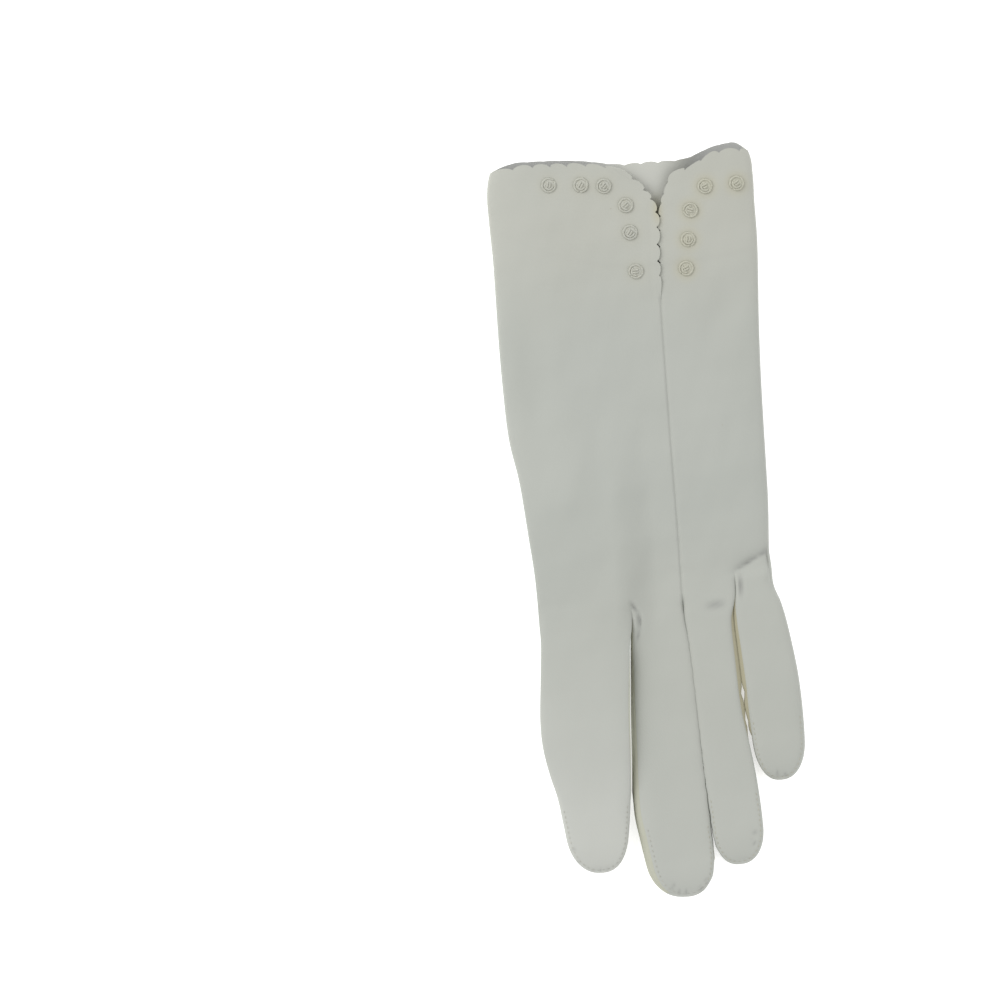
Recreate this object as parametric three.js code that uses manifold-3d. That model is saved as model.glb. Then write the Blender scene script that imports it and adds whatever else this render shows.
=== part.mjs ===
// A lady's wrist length dress glove of plain cotton cloth for the left hand, lying on its palm.
// Millimetres, +X towards the little finger, +Y towards the cuff, +Z up.
// The origin is at the bottom, under the middle of the glove's length and width.
import * as THREE from "three";
import { mergeVertices } from "three/addons/utils/BufferGeometryUtils.js";
import Module from "manifold-3d";

const wasm = await Module();
wasm.setup();

// Driving sizes
const palmWidth = 78;
const handLength = 148.2; // from the crotch beside the middle finger to the top of the cuff
const indexLength = 84.8;
const middleLength = 94.7;
const ringLength = 85.5;
const littleLength = 59.2;
const thumbReach = 33; // of the thumb's tip past the crotch
const thumbLength = 106;
const cloth = 1; // thickness of the wall
const handHeight = 8.6;
const fingerHeight = 7.6;
const thumbHeight = 6.8;
const seamGap = 0.3; // between pieces that are sewn together
const fourchetteEnd = 8.5; // from the end of a fourchette to the fingertip
const throughWall = 1.75; // how deep a seam is cut, measured square to the cloth
const seamReach = 0.5; // how far outside the cloth that cut starts
const seamTaper = 0.6; // most that it narrows on its way in, as a share of its half width
const webDepth = 1.25; // how far into the hand the cut for a fourchette starts
const webSlack = 0.9; // how far the two halves of a fourchette run together at the crotch
const fingerGap = 0.5; // between neighbouring fingers
const thumbRoom = 0.45; // between the thumb and the cloth that it lifts
const sideRoom = 0.95; // the same, beside the thumb
const tipRoom = 3.2; // the same, past its tip
const drape = 14; // how far the palm takes to come down to the table beside the thumb
const thumbRise = 46; // how far the palm takes to climb on to the thumb
const thumbFall = 40; // how far the index finger takes to come down past its tip
const pressed = 0.45; // share of that climb that the glove loses in height, lying on the thumb
const pastDrape = 20; // how far past the crotches the other fingers take to leave the thumb's climb
const crotchBlend = 26; // how far the valleys between the fingers run into the hand
const tipRound = 12; // length of a finger's rounded end
const scallopPitch = 5.6;
const scallopDepth = 1;
const slitWidth = 0.5; // of the vent where its edges lie against each other
const layerLap = 0.02; // how far the palm's cuff cut reaches past the middle, into the back's
const rosetteWidth = 5.2;
const rosetteHeight = 1.8;
const rosetteSides = 10;
const rosetteInset = 6.5; // of a rosette's centre from the edge of the cuff

// Where the main lines lie
const crotchY = middleLength - (handLength + middleLength) / 2;
const cuffY = crotchY + handLength;
const beyond = 8; // how far a skin runs past the cuff before it is cut

// The hand's outline: along from the crotch to the cuff as a share of its length,
// left and right as shares of the palm's width
const handOutline = [
  { along: 0.0, left: -0.494, right: 0.49 },
  { along: 0.05, left: -0.497, right: 0.49 },
  { along: 0.092, left: -0.5, right: 0.476 },
  { along: 0.13, left: -0.504, right: 0.487 },
  { along: 0.21, left: -0.515, right: 0.497 },
  { along: 0.3, left: -0.531, right: 0.501 },
  { along: 0.39, left: -0.559, right: 0.504 },
  { along: 0.5, left: -0.568, right: 0.509 },
  { along: 0.61, left: -0.57, right: 0.518 },
  { along: 0.78, left: -0.567, right: 0.537 },
  { along: 0.87, left: -0.571, right: 0.538 },
  { along: 0.93, left: -0.57, right: 0.54 },
  { along: 0.975, left: -0.546, right: 0.532 },
  { along: 1.03, left: -0.49, right: 0.48 },
];

// The fingers: the edges at both sides as shares of the palm's width, and along from crotch to tip
const fingers = [
  {
    name: "index",
    length: indexLength,
    tip: -0.31, // where the point of the tip lies across
    leftSeam: 0, // a fold, with no seam
    rightSeam: 26,
    edges: [
      { along: 0.0, left: -0.494, right: -0.107 },
      { along: 0.1, left: -0.493, right: -0.116 },
      { along: 0.25, left: -0.507, right: -0.129 },
      { along: 0.4, left: -0.521, right: -0.143 },
      { along: 0.5, left: -0.519, right: -0.15 },
      { along: 0.6, left: -0.501, right: -0.157 },
      { along: 0.7, left: -0.474, right: -0.166 },
      { along: 0.8, left: -0.459, right: -0.18 },
      { along: 0.9, left: -0.445, right: -0.196 },
      { along: 1.0, left: -0.43, right: -0.205 },
    ],
  },
  {
    name: "middle",
    length: middleLength,
    tip: 0.036,
    leftSeam: 44,
    rightSeam: 24,
    edges: [
      { along: 0.0, left: -0.107, right: 0.11 },
      { along: 0.1, left: -0.118, right: 0.119 },
      { along: 0.25, left: -0.132, right: 0.13 },
      { along: 0.4, left: -0.146, right: 0.135 },
      { along: 0.6, left: -0.16, right: 0.143 },
      { along: 0.7, left: -0.162, right: 0.149 },
      { along: 0.8, left: -0.145, right: 0.155 },
      { along: 0.9, left: -0.126, right: 0.156 },
      { along: 1.0, left: -0.11, right: 0.15 },
    ],
  },
  {
    name: "ring",
    length: ringLength,
    tip: 0.262,
    leftSeam: 24,
    rightSeam: 26,
    edges: [
      { along: 0.0, left: 0.11, right: 0.333 },
      { along: 0.06, left: 0.115, right: 0.319 },
      { along: 0.13, left: 0.12, right: 0.308 },
      { along: 0.25, left: 0.127, right: 0.311 },
      { along: 0.45, left: 0.135, right: 0.322 },
      { along: 0.6, left: 0.141, right: 0.345 },
      { along: 0.75, left: 0.149, right: 0.364 },
      { along: 0.9, left: 0.159, right: 0.372 },
      { along: 1.0, left: 0.162, right: 0.37 },
    ],
  },
  {
    name: "little",
    length: littleLength,
    tip: 0.46,
    leftSeam: 28,
    rightSeam: 0, // a fold, with no seam
    edges: [
      { along: 0.0, left: 0.333, right: 0.49 },
      { along: 0.09, left: 0.326, right: 0.508 },
      { along: 0.19, left: 0.328, right: 0.529 },
      { along: 0.33, left: 0.336, right: 0.549 },
      { along: 0.5, left: 0.345, right: 0.5665 },
      { along: 0.68, left: 0.349, right: 0.573 },
      { along: 0.87, left: 0.358, right: 0.571 },
      { along: 1.0, left: 0.363, right: 0.566 },
    ],
  },
];

// How far each crotch, and each side of the hand, lies towards the cuff from the first crotch
const crotchLine = [
  { across: -0.494, rise: 0 },
  { across: -0.107, rise: -0.006 },
  { across: 0.11, rise: 0.0 },
  { across: 0.333, rise: 0.038 },
  { across: 0.49, rise: 0.05 },
];

// The thumb, from its seam in the palm to its tip, as shares of the palm's width
const thumbEdges = [
  { along: 0.0, left: -0.38, right: -0.3 },
  { along: 0.025, left: -0.425, right: -0.262 },
  { along: 0.07, left: -0.458, right: -0.222 },
  { along: 0.14, left: -0.478, right: -0.192 },
  { along: 0.25, left: -0.484, right: -0.178 },
  { along: 0.5, left: -0.478, right: -0.176 },
  { along: 0.75, left: -0.472, right: -0.192 },
  { along: 1.0, left: -0.464, right: -0.218 },
];
const thumbTip = -0.335;

// The cuff's two edges: how far each lies below the cuff's top, as shares of the hand's length
const cuffEdges = [
  { across: -0.6, palm: 0.04, back: 0.045 },
  { across: -0.54, palm: 0.024, back: 0.036 },
  { across: -0.46, palm: 0.0065, back: 0.0248 },
  { across: -0.35, palm: 0.0072, back: 0.0177 },
  { across: -0.09, palm: 0.0173, back: 0.025 },
  { across: -0.0137, palm: 0.0225, back: 0.0354 },
  { across: 0.07, palm: 0.0288, back: 0.045 },
  { across: 0.155, palm: 0.034, back: 0.0495 },
  { across: 0.23, palm: 0.031, back: 0.0464 },
  { across: 0.32, palm: 0.0234, back: 0.0304 },
  { across: 0.42, palm: 0.0086, back: 0.0196 },
  { across: 0.51, palm: 0.001, back: 0.013 },
  { across: 0.6, palm: 0.01, back: 0.018 },
];

// The vent in the back: its edges' places across at each place along the hand
const ventEdges = [
  { along: 0.67, left: 0.118, right: 0.118 },
  { along: 0.723, left: 0.1205, right: 0.1205 },
  { along: 0.791, left: 0.1255, right: 0.1255 },
  { along: 0.828, left: 0.1305, right: 0.131 },
  { along: 0.857, left: 0.132, right: 0.138 },
  { along: 0.8856, left: 0.124, right: 0.148 },
  { along: 0.909, left: 0.099, right: 0.166 },
  { along: 0.937, left: 0.0574, right: 0.19 },
  { along: 0.948, left: 0.03, right: 0.206 },
  { along: 0.9646, left: -0.0137, right: 0.26 },
];
const ventOpensAt = 0.86;

// Rosettes along the cuff, and down both sides of the vent; inset counts in rosetteInset
const cuffRosettes = [
  { across: -0.31, inset: 0.985 },
  { across: -0.177, inset: 1.035 },
  { across: -0.082, inset: 1.07 },
  { across: 0.337, inset: 1.41 },
  { across: 0.467, inset: 1.68 },
];
const ventRosettes = [
  { along: 0.882, left: 1.48, right: 0 },
  { along: 0.822, left: 1.42, right: 0 },
  { along: 0.736, left: 1.18, right: 0 },
  { along: 0.86, left: 0, right: 1.55 },
  { along: 0.797, left: 0, right: 1.485 },
  { along: 0.734, left: 0, right: 1.33 },
];

// Folds and dents in the back: place, direction in degrees, size as shares of the palm's width,
// height as a share of the hand's height
const folds = [
  { across: 0.415, along: 0.085, turn: 36, length: 0.17, width: 0.05, height: -0.16 },
  { across: 0.258, along: -0.005, turn: 4, length: 0.13, width: 0.06, height: -0.12 },
  { across: -0.185, along: 0.353, turn: 88, length: 0.3, width: 0.11, height: -0.1 },
  { across: -0.44, along: 0.518, turn: 91, length: 0.6, width: 0.09, height: -0.09 },
  { across: -0.249, along: 0.202, turn: 12, length: 0.3, width: 0.12, height: -0.08 },
  { across: 0.381, along: 0.638, turn: 65, length: 0.26, width: 0.09, height: -0.08 },
  { across: -0.08, along: 0.12, turn: 70, length: 0.3, width: 0.12, height: 0.07 },
];

// Shape of the sections
const softness = 2.6; // power of a finger's rounded section
const handSoftness = 2.9; // of the hand's back
const palmFlatness = 8; // of the hand's palm
const settle = 1.12; // how much a round underside is pressed flat on the table
const topSteps = 5; // steps across a finger's back
const palmSteps = 3;
const sideSteps = 3;
const handRows = 15;
const fingerRows = [0.07, 0.16, 0.28, 0.42, 0.56, 0.7, 0.85];
const thumbRows = [0, 0.03, 0.08, 0.16, 0.28, 0.42, 0.58, 0.74, 0.88];
const tipRows = [0.06, 0.4, 0.7, 0.92];
const tipPower = 2.3; // of a finger's rounded end, seen from above
const tipThin = 0.42; // height of the very end of a finger, as a share of the finger's height
const plainSeam = 26; // degrees up from the side, where a fold's columns start
const foldReach = 0.012; // what a folded side reaches past its first column, of the palm's width
const widestThumb = 0.25; // place along the thumb from its seam where it is widest
const rootBlend = 0.13; // share of a finger's length over which its section leaves the crotch line
const tipLean = 0.7; // power with which a finger's middle line turns to the point of its tip
const thinnest = 0.2; // half height, in mm, that the inside of a fingertip keeps
const thumbTopSpread = 1.04; // how much the thumb's round top is pressed flat beneath the palm
const rowCrowding = 1.2; // power that crowds the hand's rows at the crotches

const clamp = (value, low, high) => Math.min(Math.max(value, low), high);
const mix = (a, b, share) => a + (b - a) * share;
const radians = THREE.MathUtils.degToRad;

function ease(share) {
  const t = clamp(share, 0, 1);
  return t * t * (3 - 2 * t);
}

// The value of one column at a place in a table, on a smooth curve through the rows
function follow(rows, key, place, column) {
  const last = rows.length - 1;
  let i = 0;
  while (i < last - 1 && place > rows[i + 1][key]) i += 1;
  const slope = (k) => {
    const a = rows[Math.max(k - 1, 0)];
    const b = rows[Math.min(k + 1, last)];
    return (b[column] - a[column]) / (b[key] - a[key]);
  };
  const span = rows[i + 1][key] - rows[i][key];
  const t = clamp((place - rows[i][key]) / span, 0, 1);
  const rise = rows[i + 1][column] - rows[i][column];
  const start = slope(i) * span;
  const end = slope(i + 1) * span;
  const bend = (start + end - 2 * rise) * t + (3 * rise - 2 * start - end);
  return rows[i][column] + t * (start + t * bend);
}

// Height of a rounded section at a share of its half width, from 1 in the middle to 0 at its side
function swell(share, power) {
  return (1 - Math.min(Math.abs(share), 1) ** power) ** (1 / power);
}

// Place across a rounded section at an angle, in degrees from its right side
function acrossAt(angle) {
  const c = Math.cos(radians(angle));
  return Math.sign(c) * Math.abs(c) ** (2 / softness);
}

// Both edges of an outline at a place along it
function edgesAt(outline, along) {
  return ["left", "right"].map((side) => follow(outline, "along", along, side) * palmWidth);
}

function crotchAt(x) {
  return crotchY + follow(crotchLine, "across", x / palmWidth, "rise") * handLength;
}

// How high the thumb, lying beneath, lifts the cloth. Past the crotch it lifts the index finger
// alone, and the middle finger beside it comes down to the table.
function lift(x, y, finger) {
  const tipY = crotchY - thumbReach;
  const top = thumbHeight + thumbRoom;
  const baseY = tipY + thumbLength;
  const fallen = ease((y - tipY + tipRoom + thumbFall) / thumbFall);
  const climb = ease((baseY - y) / thumbRise) * fallen;
  const share = clamp((baseY - y) / thumbLength, widestThumb, 1);
  const side = follow(thumbEdges, "along", share, "right") * palmWidth + sideRoom;
  const spread = 1 - ease((x - side) / drape);
  const past = ease((crotchY - y) / pastDrape);
  const own = finger === 0 ? 1 : 0;
  return top * climb * mix(spread, own, past);
}

function foldAt(x, y) {
  let height = 0;
  for (const fold of folds) {
    const dx = x - fold.across * palmWidth;
    const dy = y - (crotchY + fold.along * handLength);
    const turn = radians(fold.turn);
    const u = (dx * Math.cos(turn) + dy * Math.sin(turn)) / (fold.length * palmWidth);
    const v = (dy * Math.cos(turn) - dx * Math.sin(turn)) / (fold.width * palmWidth);
    height += fold.height * handHeight * Math.exp(-2 * (u * u + v * v) - 2 * u ** 4);
  }
  return height;
}

// Rows along a finger as shares of its length: its straight part, then its rounded end
function rowsOf(length, straight) {
  const roundFrom = 1 - tipRound / length;
  return [...straight.map((v) => v * roundFrom), ...tipRows.map((v) => mix(roundFrom, 1, v))];
}

// The columns of a finger: angle in degrees and whether it is above, below or at a side
function columnsOf(finger) {
  const left = finger.leftSeam || plainSeam;
  const right = finger.rightSeam || plainSeam;
  const spaced = (from, to, steps) =>
    Array.from({ length: steps + 1 }, (_, i) => mix(from, to, i / steps));
  return {
    top: spaced(180 - left, right, topSteps),
    right: spaced(right, -right, sideSteps).slice(1, -1),
    bottom: spaced(-right, left - 180, palmSteps),
    left: spaced(180 + left, 180 - left, sideSteps).slice(1, -1),
  };
}

// Where a column of a finger starts at the crotch line, across the hand
function rootAcross(finger, angle) {
  const place = acrossAt(angle);
  const left = acrossAt(180 - (finger.leftSeam || plainSeam));
  const right = acrossAt(finger.rightSeam || plainSeam);
  const edge = finger.edges[0];
  const from = edge.left + (finger.leftSeam ? 0 : foldReach);
  const to = edge.right - (finger.rightSeam ? 0 : foldReach);
  let across = mix(from, to, (place - left) / (right - left));
  if (place < left) across = mix(from, edge.left, (left - place) / (left + 1));
  if (place > right) across = mix(to, edge.right, (place - right) / (1 - right));
  return across * palmWidth;
}

// A point of a finger's section
function fingerPoint(index, angle, along, inset) {
  const finger = fingers[index];
  const above = Math.sin(radians(angle)) > 0;
  const place = acrossAt(angle);
  const rootX = rootAcross(finger, angle);
  const rootY = crotchAt(rootX) + inset;
  const tipY = crotchY - finger.length + inset;
  const y = mix(rootY, tipY, along);
  const roundFrom = 1 - tipRound / finger.length;
  const round = swell(clamp((along - roundFrom) / (1 - roundFrom), 0, 1), tipPower);
  const blend = ease(along / rootBlend);
  const gap = fingerGap / 2;
  const [from, to] = edgesAt(finger.edges, along);
  const left = from + (finger.leftSeam ? gap : 0);
  const right = to - (finger.rightSeam ? gap : 0);
  const middle = mix(finger.tip * palmWidth, (left + right) / 2, round ** tipLean);
  const half = Math.max((right - left) / 2 - inset, 0) * round;
  const x = mix(rootX, middle + half * place, blend);
  const climb = lift(x, y, index);
  const height = (fingerHeight - pressed * climb) * mix(tipThin, 1, round);
  const tall = Math.max(height / 2 - inset, thinnest);
  const rise = swell(place, softness);
  const up = above ? rise : -Math.min(1, settle * rise);
  const crease = above ? foldAt(x, y) * rise * (1 - blend) : 0;
  return [x, y, height / 2 + tall * up + climb + crease];
}

// A point of the hand's section: row 0 lies past the cuff, row 1 at the crotch
function handPoint(index, angle, row, inset) {
  const finger = fingers[index];
  const above = Math.sin(radians(angle)) > 0;
  const rootX = rootAcross(finger, angle);
  const root = handOutline[0];
  const share = (rootX / palmWidth - (root.left + root.right) / 2) / ((root.right - root.left) / 2);
  const straightY = mix(cuffY + beyond, crotchY, row) + (inset ? inset * row : 0);
  const near = 1 - ease((straightY - crotchY - inset) / crotchBlend);
  const y = straightY + near * (crotchAt(rootX) - crotchY);
  const along = (y - crotchY) / handLength;
  const [left, right] = edgesAt(handOutline, along);
  const x = mix((left + right) / 2 + ((right - left) / 2 - inset) * share, rootX, near);
  const round = swell(acrossAt(angle), softness);
  const oval = swell(share, above ? handSoftness : palmFlatness);
  const up = above ? mix(oval, round, near) : -Math.min(1, mix(oval, round, near) * settle);
  const climb = lift(x, y, index);
  const height = mix(handHeight, fingerHeight, near) - pressed * climb;
  const crease = above ? foldAt(x, y) * oval : 0;
  return [x, y, height / 2 + (height / 2 - inset) * up + climb + crease];
}

// Joins two rings of points with triangles that face outwards; the first ring lies nearer the cuff
function joinRings(faces, ring, next) {
  ring.forEach((a, i) => {
    const b = ring[(i + 1) % ring.length];
    const c = next[i];
    const d = next[(i + 1) % ring.length];
    faces.push([a, c, b], [b, c, d]);
  });
}

function closeRing(points, faces, ring, tip, atCuff) {
  const pole = points.push(tip) - 1;
  ring.forEach((a, i) => {
    const b = ring[(i + 1) % ring.length];
    faces.push(atCuff ? [pole, a, b] : [pole, b, a]);
  });
}

function middleOf(points, ring) {
  const sum = ring.reduce((total, i) => total.map((v, k) => v + points[i][k]), [0, 0, 0]);
  return sum.map((v) => v / ring.length);
}

function solidOf(points, faces) {
  return new wasm.Manifold(
    new wasm.Mesh({
      numProp: 3,
      vertProperties: new Float32Array(points.flat()),
      triVerts: new Uint32Array(faces.flat()),
    }),
  );
}

// The hand and its four fingers as one filled skin, set in from the outside by inset
function gloveSkin(inset) {
  const points = [];
  const faces = [];
  const add = (point) => points.push(point) - 1;
  const columns = fingers.map(columnsOf);
  let ring;
  for (let r = 0; r <= handRows; r += 1) {
    const row = 1 - (1 - r / handRows) ** rowCrowding;
    const put = (index, angle) => add(handPoint(index, angle, row, inset));
    const top = [];
    const bottom = [];
    fingers.forEach((_, f) => {
      columns[f].top.slice(f ? 1 : 0).forEach((angle) => top.push(put(f, angle)));
    });
    const right = columns[3].right.map((angle) => put(3, angle));
    fingers.forEach((_, k) => {
      const f = 3 - k;
      columns[f].bottom.slice(k ? 1 : 0).forEach((angle) => bottom.push(put(f, angle)));
    });
    const left = columns[0].left.map((angle) => put(0, angle));
    const next = { top, right, bottom, left, all: [...top, ...right, ...bottom, ...left] };
    if (ring) joinRings(faces, ring.all, next.all);
    else closeRing(points, faces, next.all, middleOf(points, next.all), true);
    ring = next;
  }
  const webs = [0, 1, 2].map((f) => {
    const upper = points[ring.top[(f + 1) * topSteps]];
    const lower = points[ring.bottom[(3 - f) * palmSteps]];
    return Array.from({ length: sideSteps - 1 }, (_, i) =>
      add(upper.map((v, k) => mix(v, lower[k], (i + 1) / sideSteps))),
    );
  });
  fingers.forEach((finger, f) => {
    let last = [
      ...ring.top.slice(f * topSteps, (f + 1) * topSteps + 1),
      ...(f < 3 ? webs[f] : ring.right),
      ...ring.bottom.slice((3 - f) * palmSteps, (4 - f) * palmSteps + 1),
      ...(f ? [...webs[f - 1]].reverse() : ring.left),
    ];
    const { top, right, bottom, left } = columns[f];
    const angles = [...top, ...right, ...bottom, ...left];
    rowsOf(finger.length, fingerRows).forEach((along) => {
      const next = angles.map((angle) => add(fingerPoint(f, angle, along, inset)));
      joinRings(faces, last, next);
      last = next;
    });
    const low = fingerPoint(f, -90, 1, inset);
    const high = fingerPoint(f, 90, 1, inset);
    closeRing(points, faces, last, low.map((v, k) => mix(v, high[k], 0.5)), false);
  });
  return solidOf(points, faces);
}

// The outward direction of a finger's section at an angle, in the plane across it
function outwardAt(half, tall, angle) {
  const place = acrossAt(angle);
  const nx = (Math.sign(place) * Math.abs(place) ** (softness - 1)) / half;
  const nz = (Math.sign(Math.sin(radians(angle))) * swell(place, softness) ** (softness - 1)) / tall;
  const size = Math.hypot(nx, nz);
  return [nx / size, nz / size];
}

// The room that a fourchette takes along one side of a finger, from seam to seam, as a solid.
// It reaches through the wall square to it. grow widens it at both seams and at its end.
function stripRoom(index, side, grow) {
  const finger = fingers[index];
  const seam = side > 0 ? finger.rightSeam : finger.leftSeam;
  const angles = side > 0 ? [seam, -seam] : [180 - seam, seam - 180];
  const points = [];
  const faces = [];
  const end = 1 - (fourchetteEnd - grow) / finger.length;
  const rows = [0, ...rowsOf(finger.length, fingerRows).filter((along) => along < end), end];
  const section = (along, shift, slack) => {
    const [left, right] = edgesAt(finger.edges, along);
    const half = (right - left) / 2;
    const low = fingerPoint(index, -90, along, 0)[2];
    const tall = (fingerPoint(index, 90, along, 0)[2] - low) / 2;
    const [inUpper, outUpper, outLower, inLower] = [-1, 1, 1, -1].map((way, k) => {
      const angle = angles[k < 2 ? 0 : 1];
      const [x, y, z] = fingerPoint(index, angle, along, 0);
      const [nx, nz] = outwardAt(half, tall, angle);
      const most = seamTaper * Math.abs(z - low - tall);
      const sink = clamp(nz * throughWall, -most, most);
      const inwards = [side * Math.sqrt(throughWall ** 2 - sink ** 2), sink];
      const [dx, dz] = way > 0 ? [-nx * seamReach, -nz * seamReach] : inwards;
      return [x - dx, y + shift, z - dz + (k < 2 ? grow : -grow)];
    });
    const edge = fingerPoint(index, side > 0 ? 0 : 180, along, 0)[0] + side * slack;
    const far = side > 0 ? Math.max(edge, outUpper[0]) : Math.min(edge, outUpper[0]);
    const farUpper = [far, outUpper[1], outUpper[2]];
    const farLower = [far, outLower[1], outLower[2]];
    return [inUpper, outUpper, farUpper, farLower, outLower, inLower];
  };
  const sections = rows.map((along, i) => section(along, 0, i < 3 ? webSlack : fingerGap));
  sections.unshift(section(0, webDepth, webSlack));
  let last;
  sections.forEach((corners) => {
    const ring = corners.map((point) => points.push(point) - 1);
    if (last) joinRings(faces, last, ring);
    else closeRing(points, faces, ring, middleOf(points, ring), true);
    last = ring;
  });
  closeRing(points, faces, last, middleOf(points, last), false);
  return solidOf(points, side > 0 ? faces : faces.map(([p, q, r]) => [p, r, q]));
}

function slitRoom(index, grow) {
  return stripRoom(index, 1, grow).add(stripRoom(index + 1, -1, grow));
}

// The thumb as one filled skin, open hand side first
function thumbSkin(inset) {
  const points = [];
  const faces = [];
  const tipY = crotchY - thumbReach + inset;
  const baseY = crotchY - thumbReach + thumbLength;
  const roundFrom = 1 - tipRound / thumbLength;
  const { top, right, bottom, left } = columnsOf({ leftSeam: 0, rightSeam: 0 });
  const angles = [...top, ...right, ...bottom, ...left];
  let last;
  rowsOf(thumbLength, thumbRows).forEach((along) => {
    const y = mix(baseY, tipY, along);
    const round = swell(clamp((along - roundFrom) / (1 - roundFrom), 0, 1), tipPower);
    const [from, to] = edgesAt(thumbEdges, along);
    const middle = mix(thumbTip * palmWidth, (from + to) / 2, round ** tipLean);
    const half = ((to - from) / 2 - inset) * round;
    const height = thumbHeight * mix(tipThin, 1, round);
    const tall = Math.max(height / 2 - inset, thinnest);
    const ring = angles.map((angle) => {
      const place = acrossAt(angle);
      const above = Math.sin(radians(angle)) > 0;
      const rise = swell(place, softness);
      const up = above ? Math.min(1, rise * thumbTopSpread) : -Math.min(1, settle * rise);
      return points.push([middle + half * place, y, height / 2 + tall * up]) - 1;
    });
    if (last) joinRings(faces, last, ring);
    else closeRing(points, faces, ring, middleOf(points, ring), true);
    last = ring;
  });
  const tip = middleOf(points, last);
  closeRing(points, faces, last, [thumbTip * palmWidth, tipY, tip[2]], false);
  return solidOf(points, faces);
}

// An upright block over a plan outline, between two heights
function block(outline, low, high) {
  const shape = new THREE.Shape(outline.map(([x, y]) => new THREE.Vector2(x, y)));
  const geometry = new THREE.ExtrudeGeometry(shape, { depth: high - low, bevelEnabled: false });
  geometry.translate(0, 0, low);
  return solidFrom(geometry);
}

function solidFrom(geometry) {
  geometry.deleteAttribute("normal");
  geometry.deleteAttribute("uv");
  const merged = mergeVertices(geometry, 1e-4);
  return new wasm.Manifold(
    new wasm.Mesh({
      numProp: 3,
      vertProperties: new Float32Array(merged.attributes.position.array),
      triVerts: new Uint32Array(merged.index.array),
    }),
  );
}

// Height of a scallop's edge above its notches, at each quarter of its width
const scallopSteps = [0, 0.78, 1, 0.78];

// The scalloped edge of one layer of the cuff, from side to side
function cuffEdge(layer) {
  const reach = cuffEdges[cuffEdges.length - 1].across * palmWidth;
  const count = Math.round((2 * reach) / scallopPitch) * scallopSteps.length;
  return Array.from({ length: count + 1 }, (_, i) => {
    const x = mix(-reach, reach, i / count);
    const drop = follow(cuffEdges, "across", x / palmWidth, layer) * handLength;
    return [x, cuffY - drop - scallopDepth * (1 - scallopSteps[i % scallopSteps.length])];
  });
}

function aboveCuff(layer, low, high) {
  const far = cuffY + beyond * 2;
  const wide = palmWidth;
  const edge = cuffEdge(layer);
  const start = edge[0];
  const end = edge[edge.length - 1];
  return block([...edge, [wide, end[1]], [wide, far], [-wide, far], [-wide, start[1]]], low, high);
}

// The open vent between its two scalloped edges
function ventRoom(low, high) {
  const first = ventEdges[0].along;
  const last = ventEdges[ventEdges.length - 1].along;
  const count = Math.round(((last - first) * handLength) / scallopPitch) * scallopSteps.length;
  const left = [];
  const right = [];
  for (let i = 1; i <= count; i += 1) {
    const along = mix(first, last, i / count);
    const notch = scallopDepth * (1 - scallopSteps[i % scallopSteps.length]);
    const y = crotchY + along * handLength;
    const [from, to] = edgesAt(ventEdges, along);
    left.push([from - notch, y]);
    if (along > ventOpensAt || i % scallopSteps.length === 0) {
      right.push([to + slitWidth + (along > ventOpensAt ? notch : 0), y]);
    }
  }
  const far = cuffY + beyond;
  const foot = [edgesAt(ventEdges, first)[0] + slitWidth / 2, crotchY + first * handLength];
  const leftTop = [left[left.length - 1][0], far];
  const rightTop = [right[right.length - 1][0], far];
  return block([foot, ...right, rightTop, leftTop, ...left.reverse()], low, high);
}

// Height of the hand's back above the table, beyond the thumb
function backHeight(x, y) {
  const [left, right] = edgesAt(handOutline, (y - crotchY) / handLength);
  const share = (x - (left + right) / 2) / ((right - left) / 2);
  const rise = swell(share, handSoftness);
  return (handHeight / 2) * (1 + rise) + foldAt(x, y) * rise;
}

// A rose of coiled thread, as a low dome with two rings
function rosetteGeometry() {
  const r = rosetteWidth / 2;
  const h = rosetteHeight;
  const profile = [
    [0, 0],
    [r * 0.86, 0],
    [r, 0.3 * h],
    [r * 0.84, 0.66 * h],
    [r * 0.66, 0.5 * h],
    [r * 0.46, 0.9 * h],
    [r * 0.26, 0.7 * h],
    [0, h],
  ];
  const outline = profile.map(([x, y]) => new THREE.Vector2(x, y));
  const geometry = new THREE.LatheGeometry(outline, rosetteSides);
  geometry.rotateX(Math.PI / 2);
  return geometry;
}

function rosettePlaces() {
  const onCuff = cuffRosettes.map(({ across, inset }) => {
    const drop = follow(cuffEdges, "across", across, "back") * handLength;
    return [across * palmWidth, cuffY - drop - inset * rosetteInset];
  });
  const onVent = ventRosettes.map(({ along, left, right }) => {
    const side = right ? "right" : "left";
    const edge = follow(ventEdges, "along", along, side) * palmWidth;
    return [edge + (right - left) * rosetteInset, crotchY + along * handLength];
  });
  return [...onCuff, ...onVent];
}

// Materials
const clothFinish = { color: 0xe4e3da, roughness: 0.92, metalness: 0 };
const fourchetteFinish = { color: 0xd9d2b8, roughness: 0.92, metalness: 0 };
const threadFinish = { color: 0xdcd8c6, roughness: 0.8, metalness: 0 };

function pieceOf(name, geometry, finish) {
  const piece = new THREE.Mesh(geometry, new THREE.MeshStandardMaterial(finish));
  piece.name = name;
  return piece;
}

function geometryOf(solid) {
  const mesh = solid.getMesh();
  const geometry = new THREE.BufferGeometry();
  geometry.setAttribute("position", new THREE.BufferAttribute(mesh.vertProperties, 3));
  geometry.setIndex(new THREE.BufferAttribute(mesh.triVerts, 1));
  geometry.computeVertexNormals();
  return geometry;
}

// Assembly
const glove = new THREE.Group();
const filled = gloveSkin(0);
const halfway = handHeight / 2;
const shell = filled
  .subtract(gloveSkin(cloth))
  .subtract(aboveCuff("back", halfway, handHeight * 4))
  .subtract(aboveCuff("palm", -handHeight, halfway + layerLap))
  .subtract(ventRoom(halfway, handHeight * 4));

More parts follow.
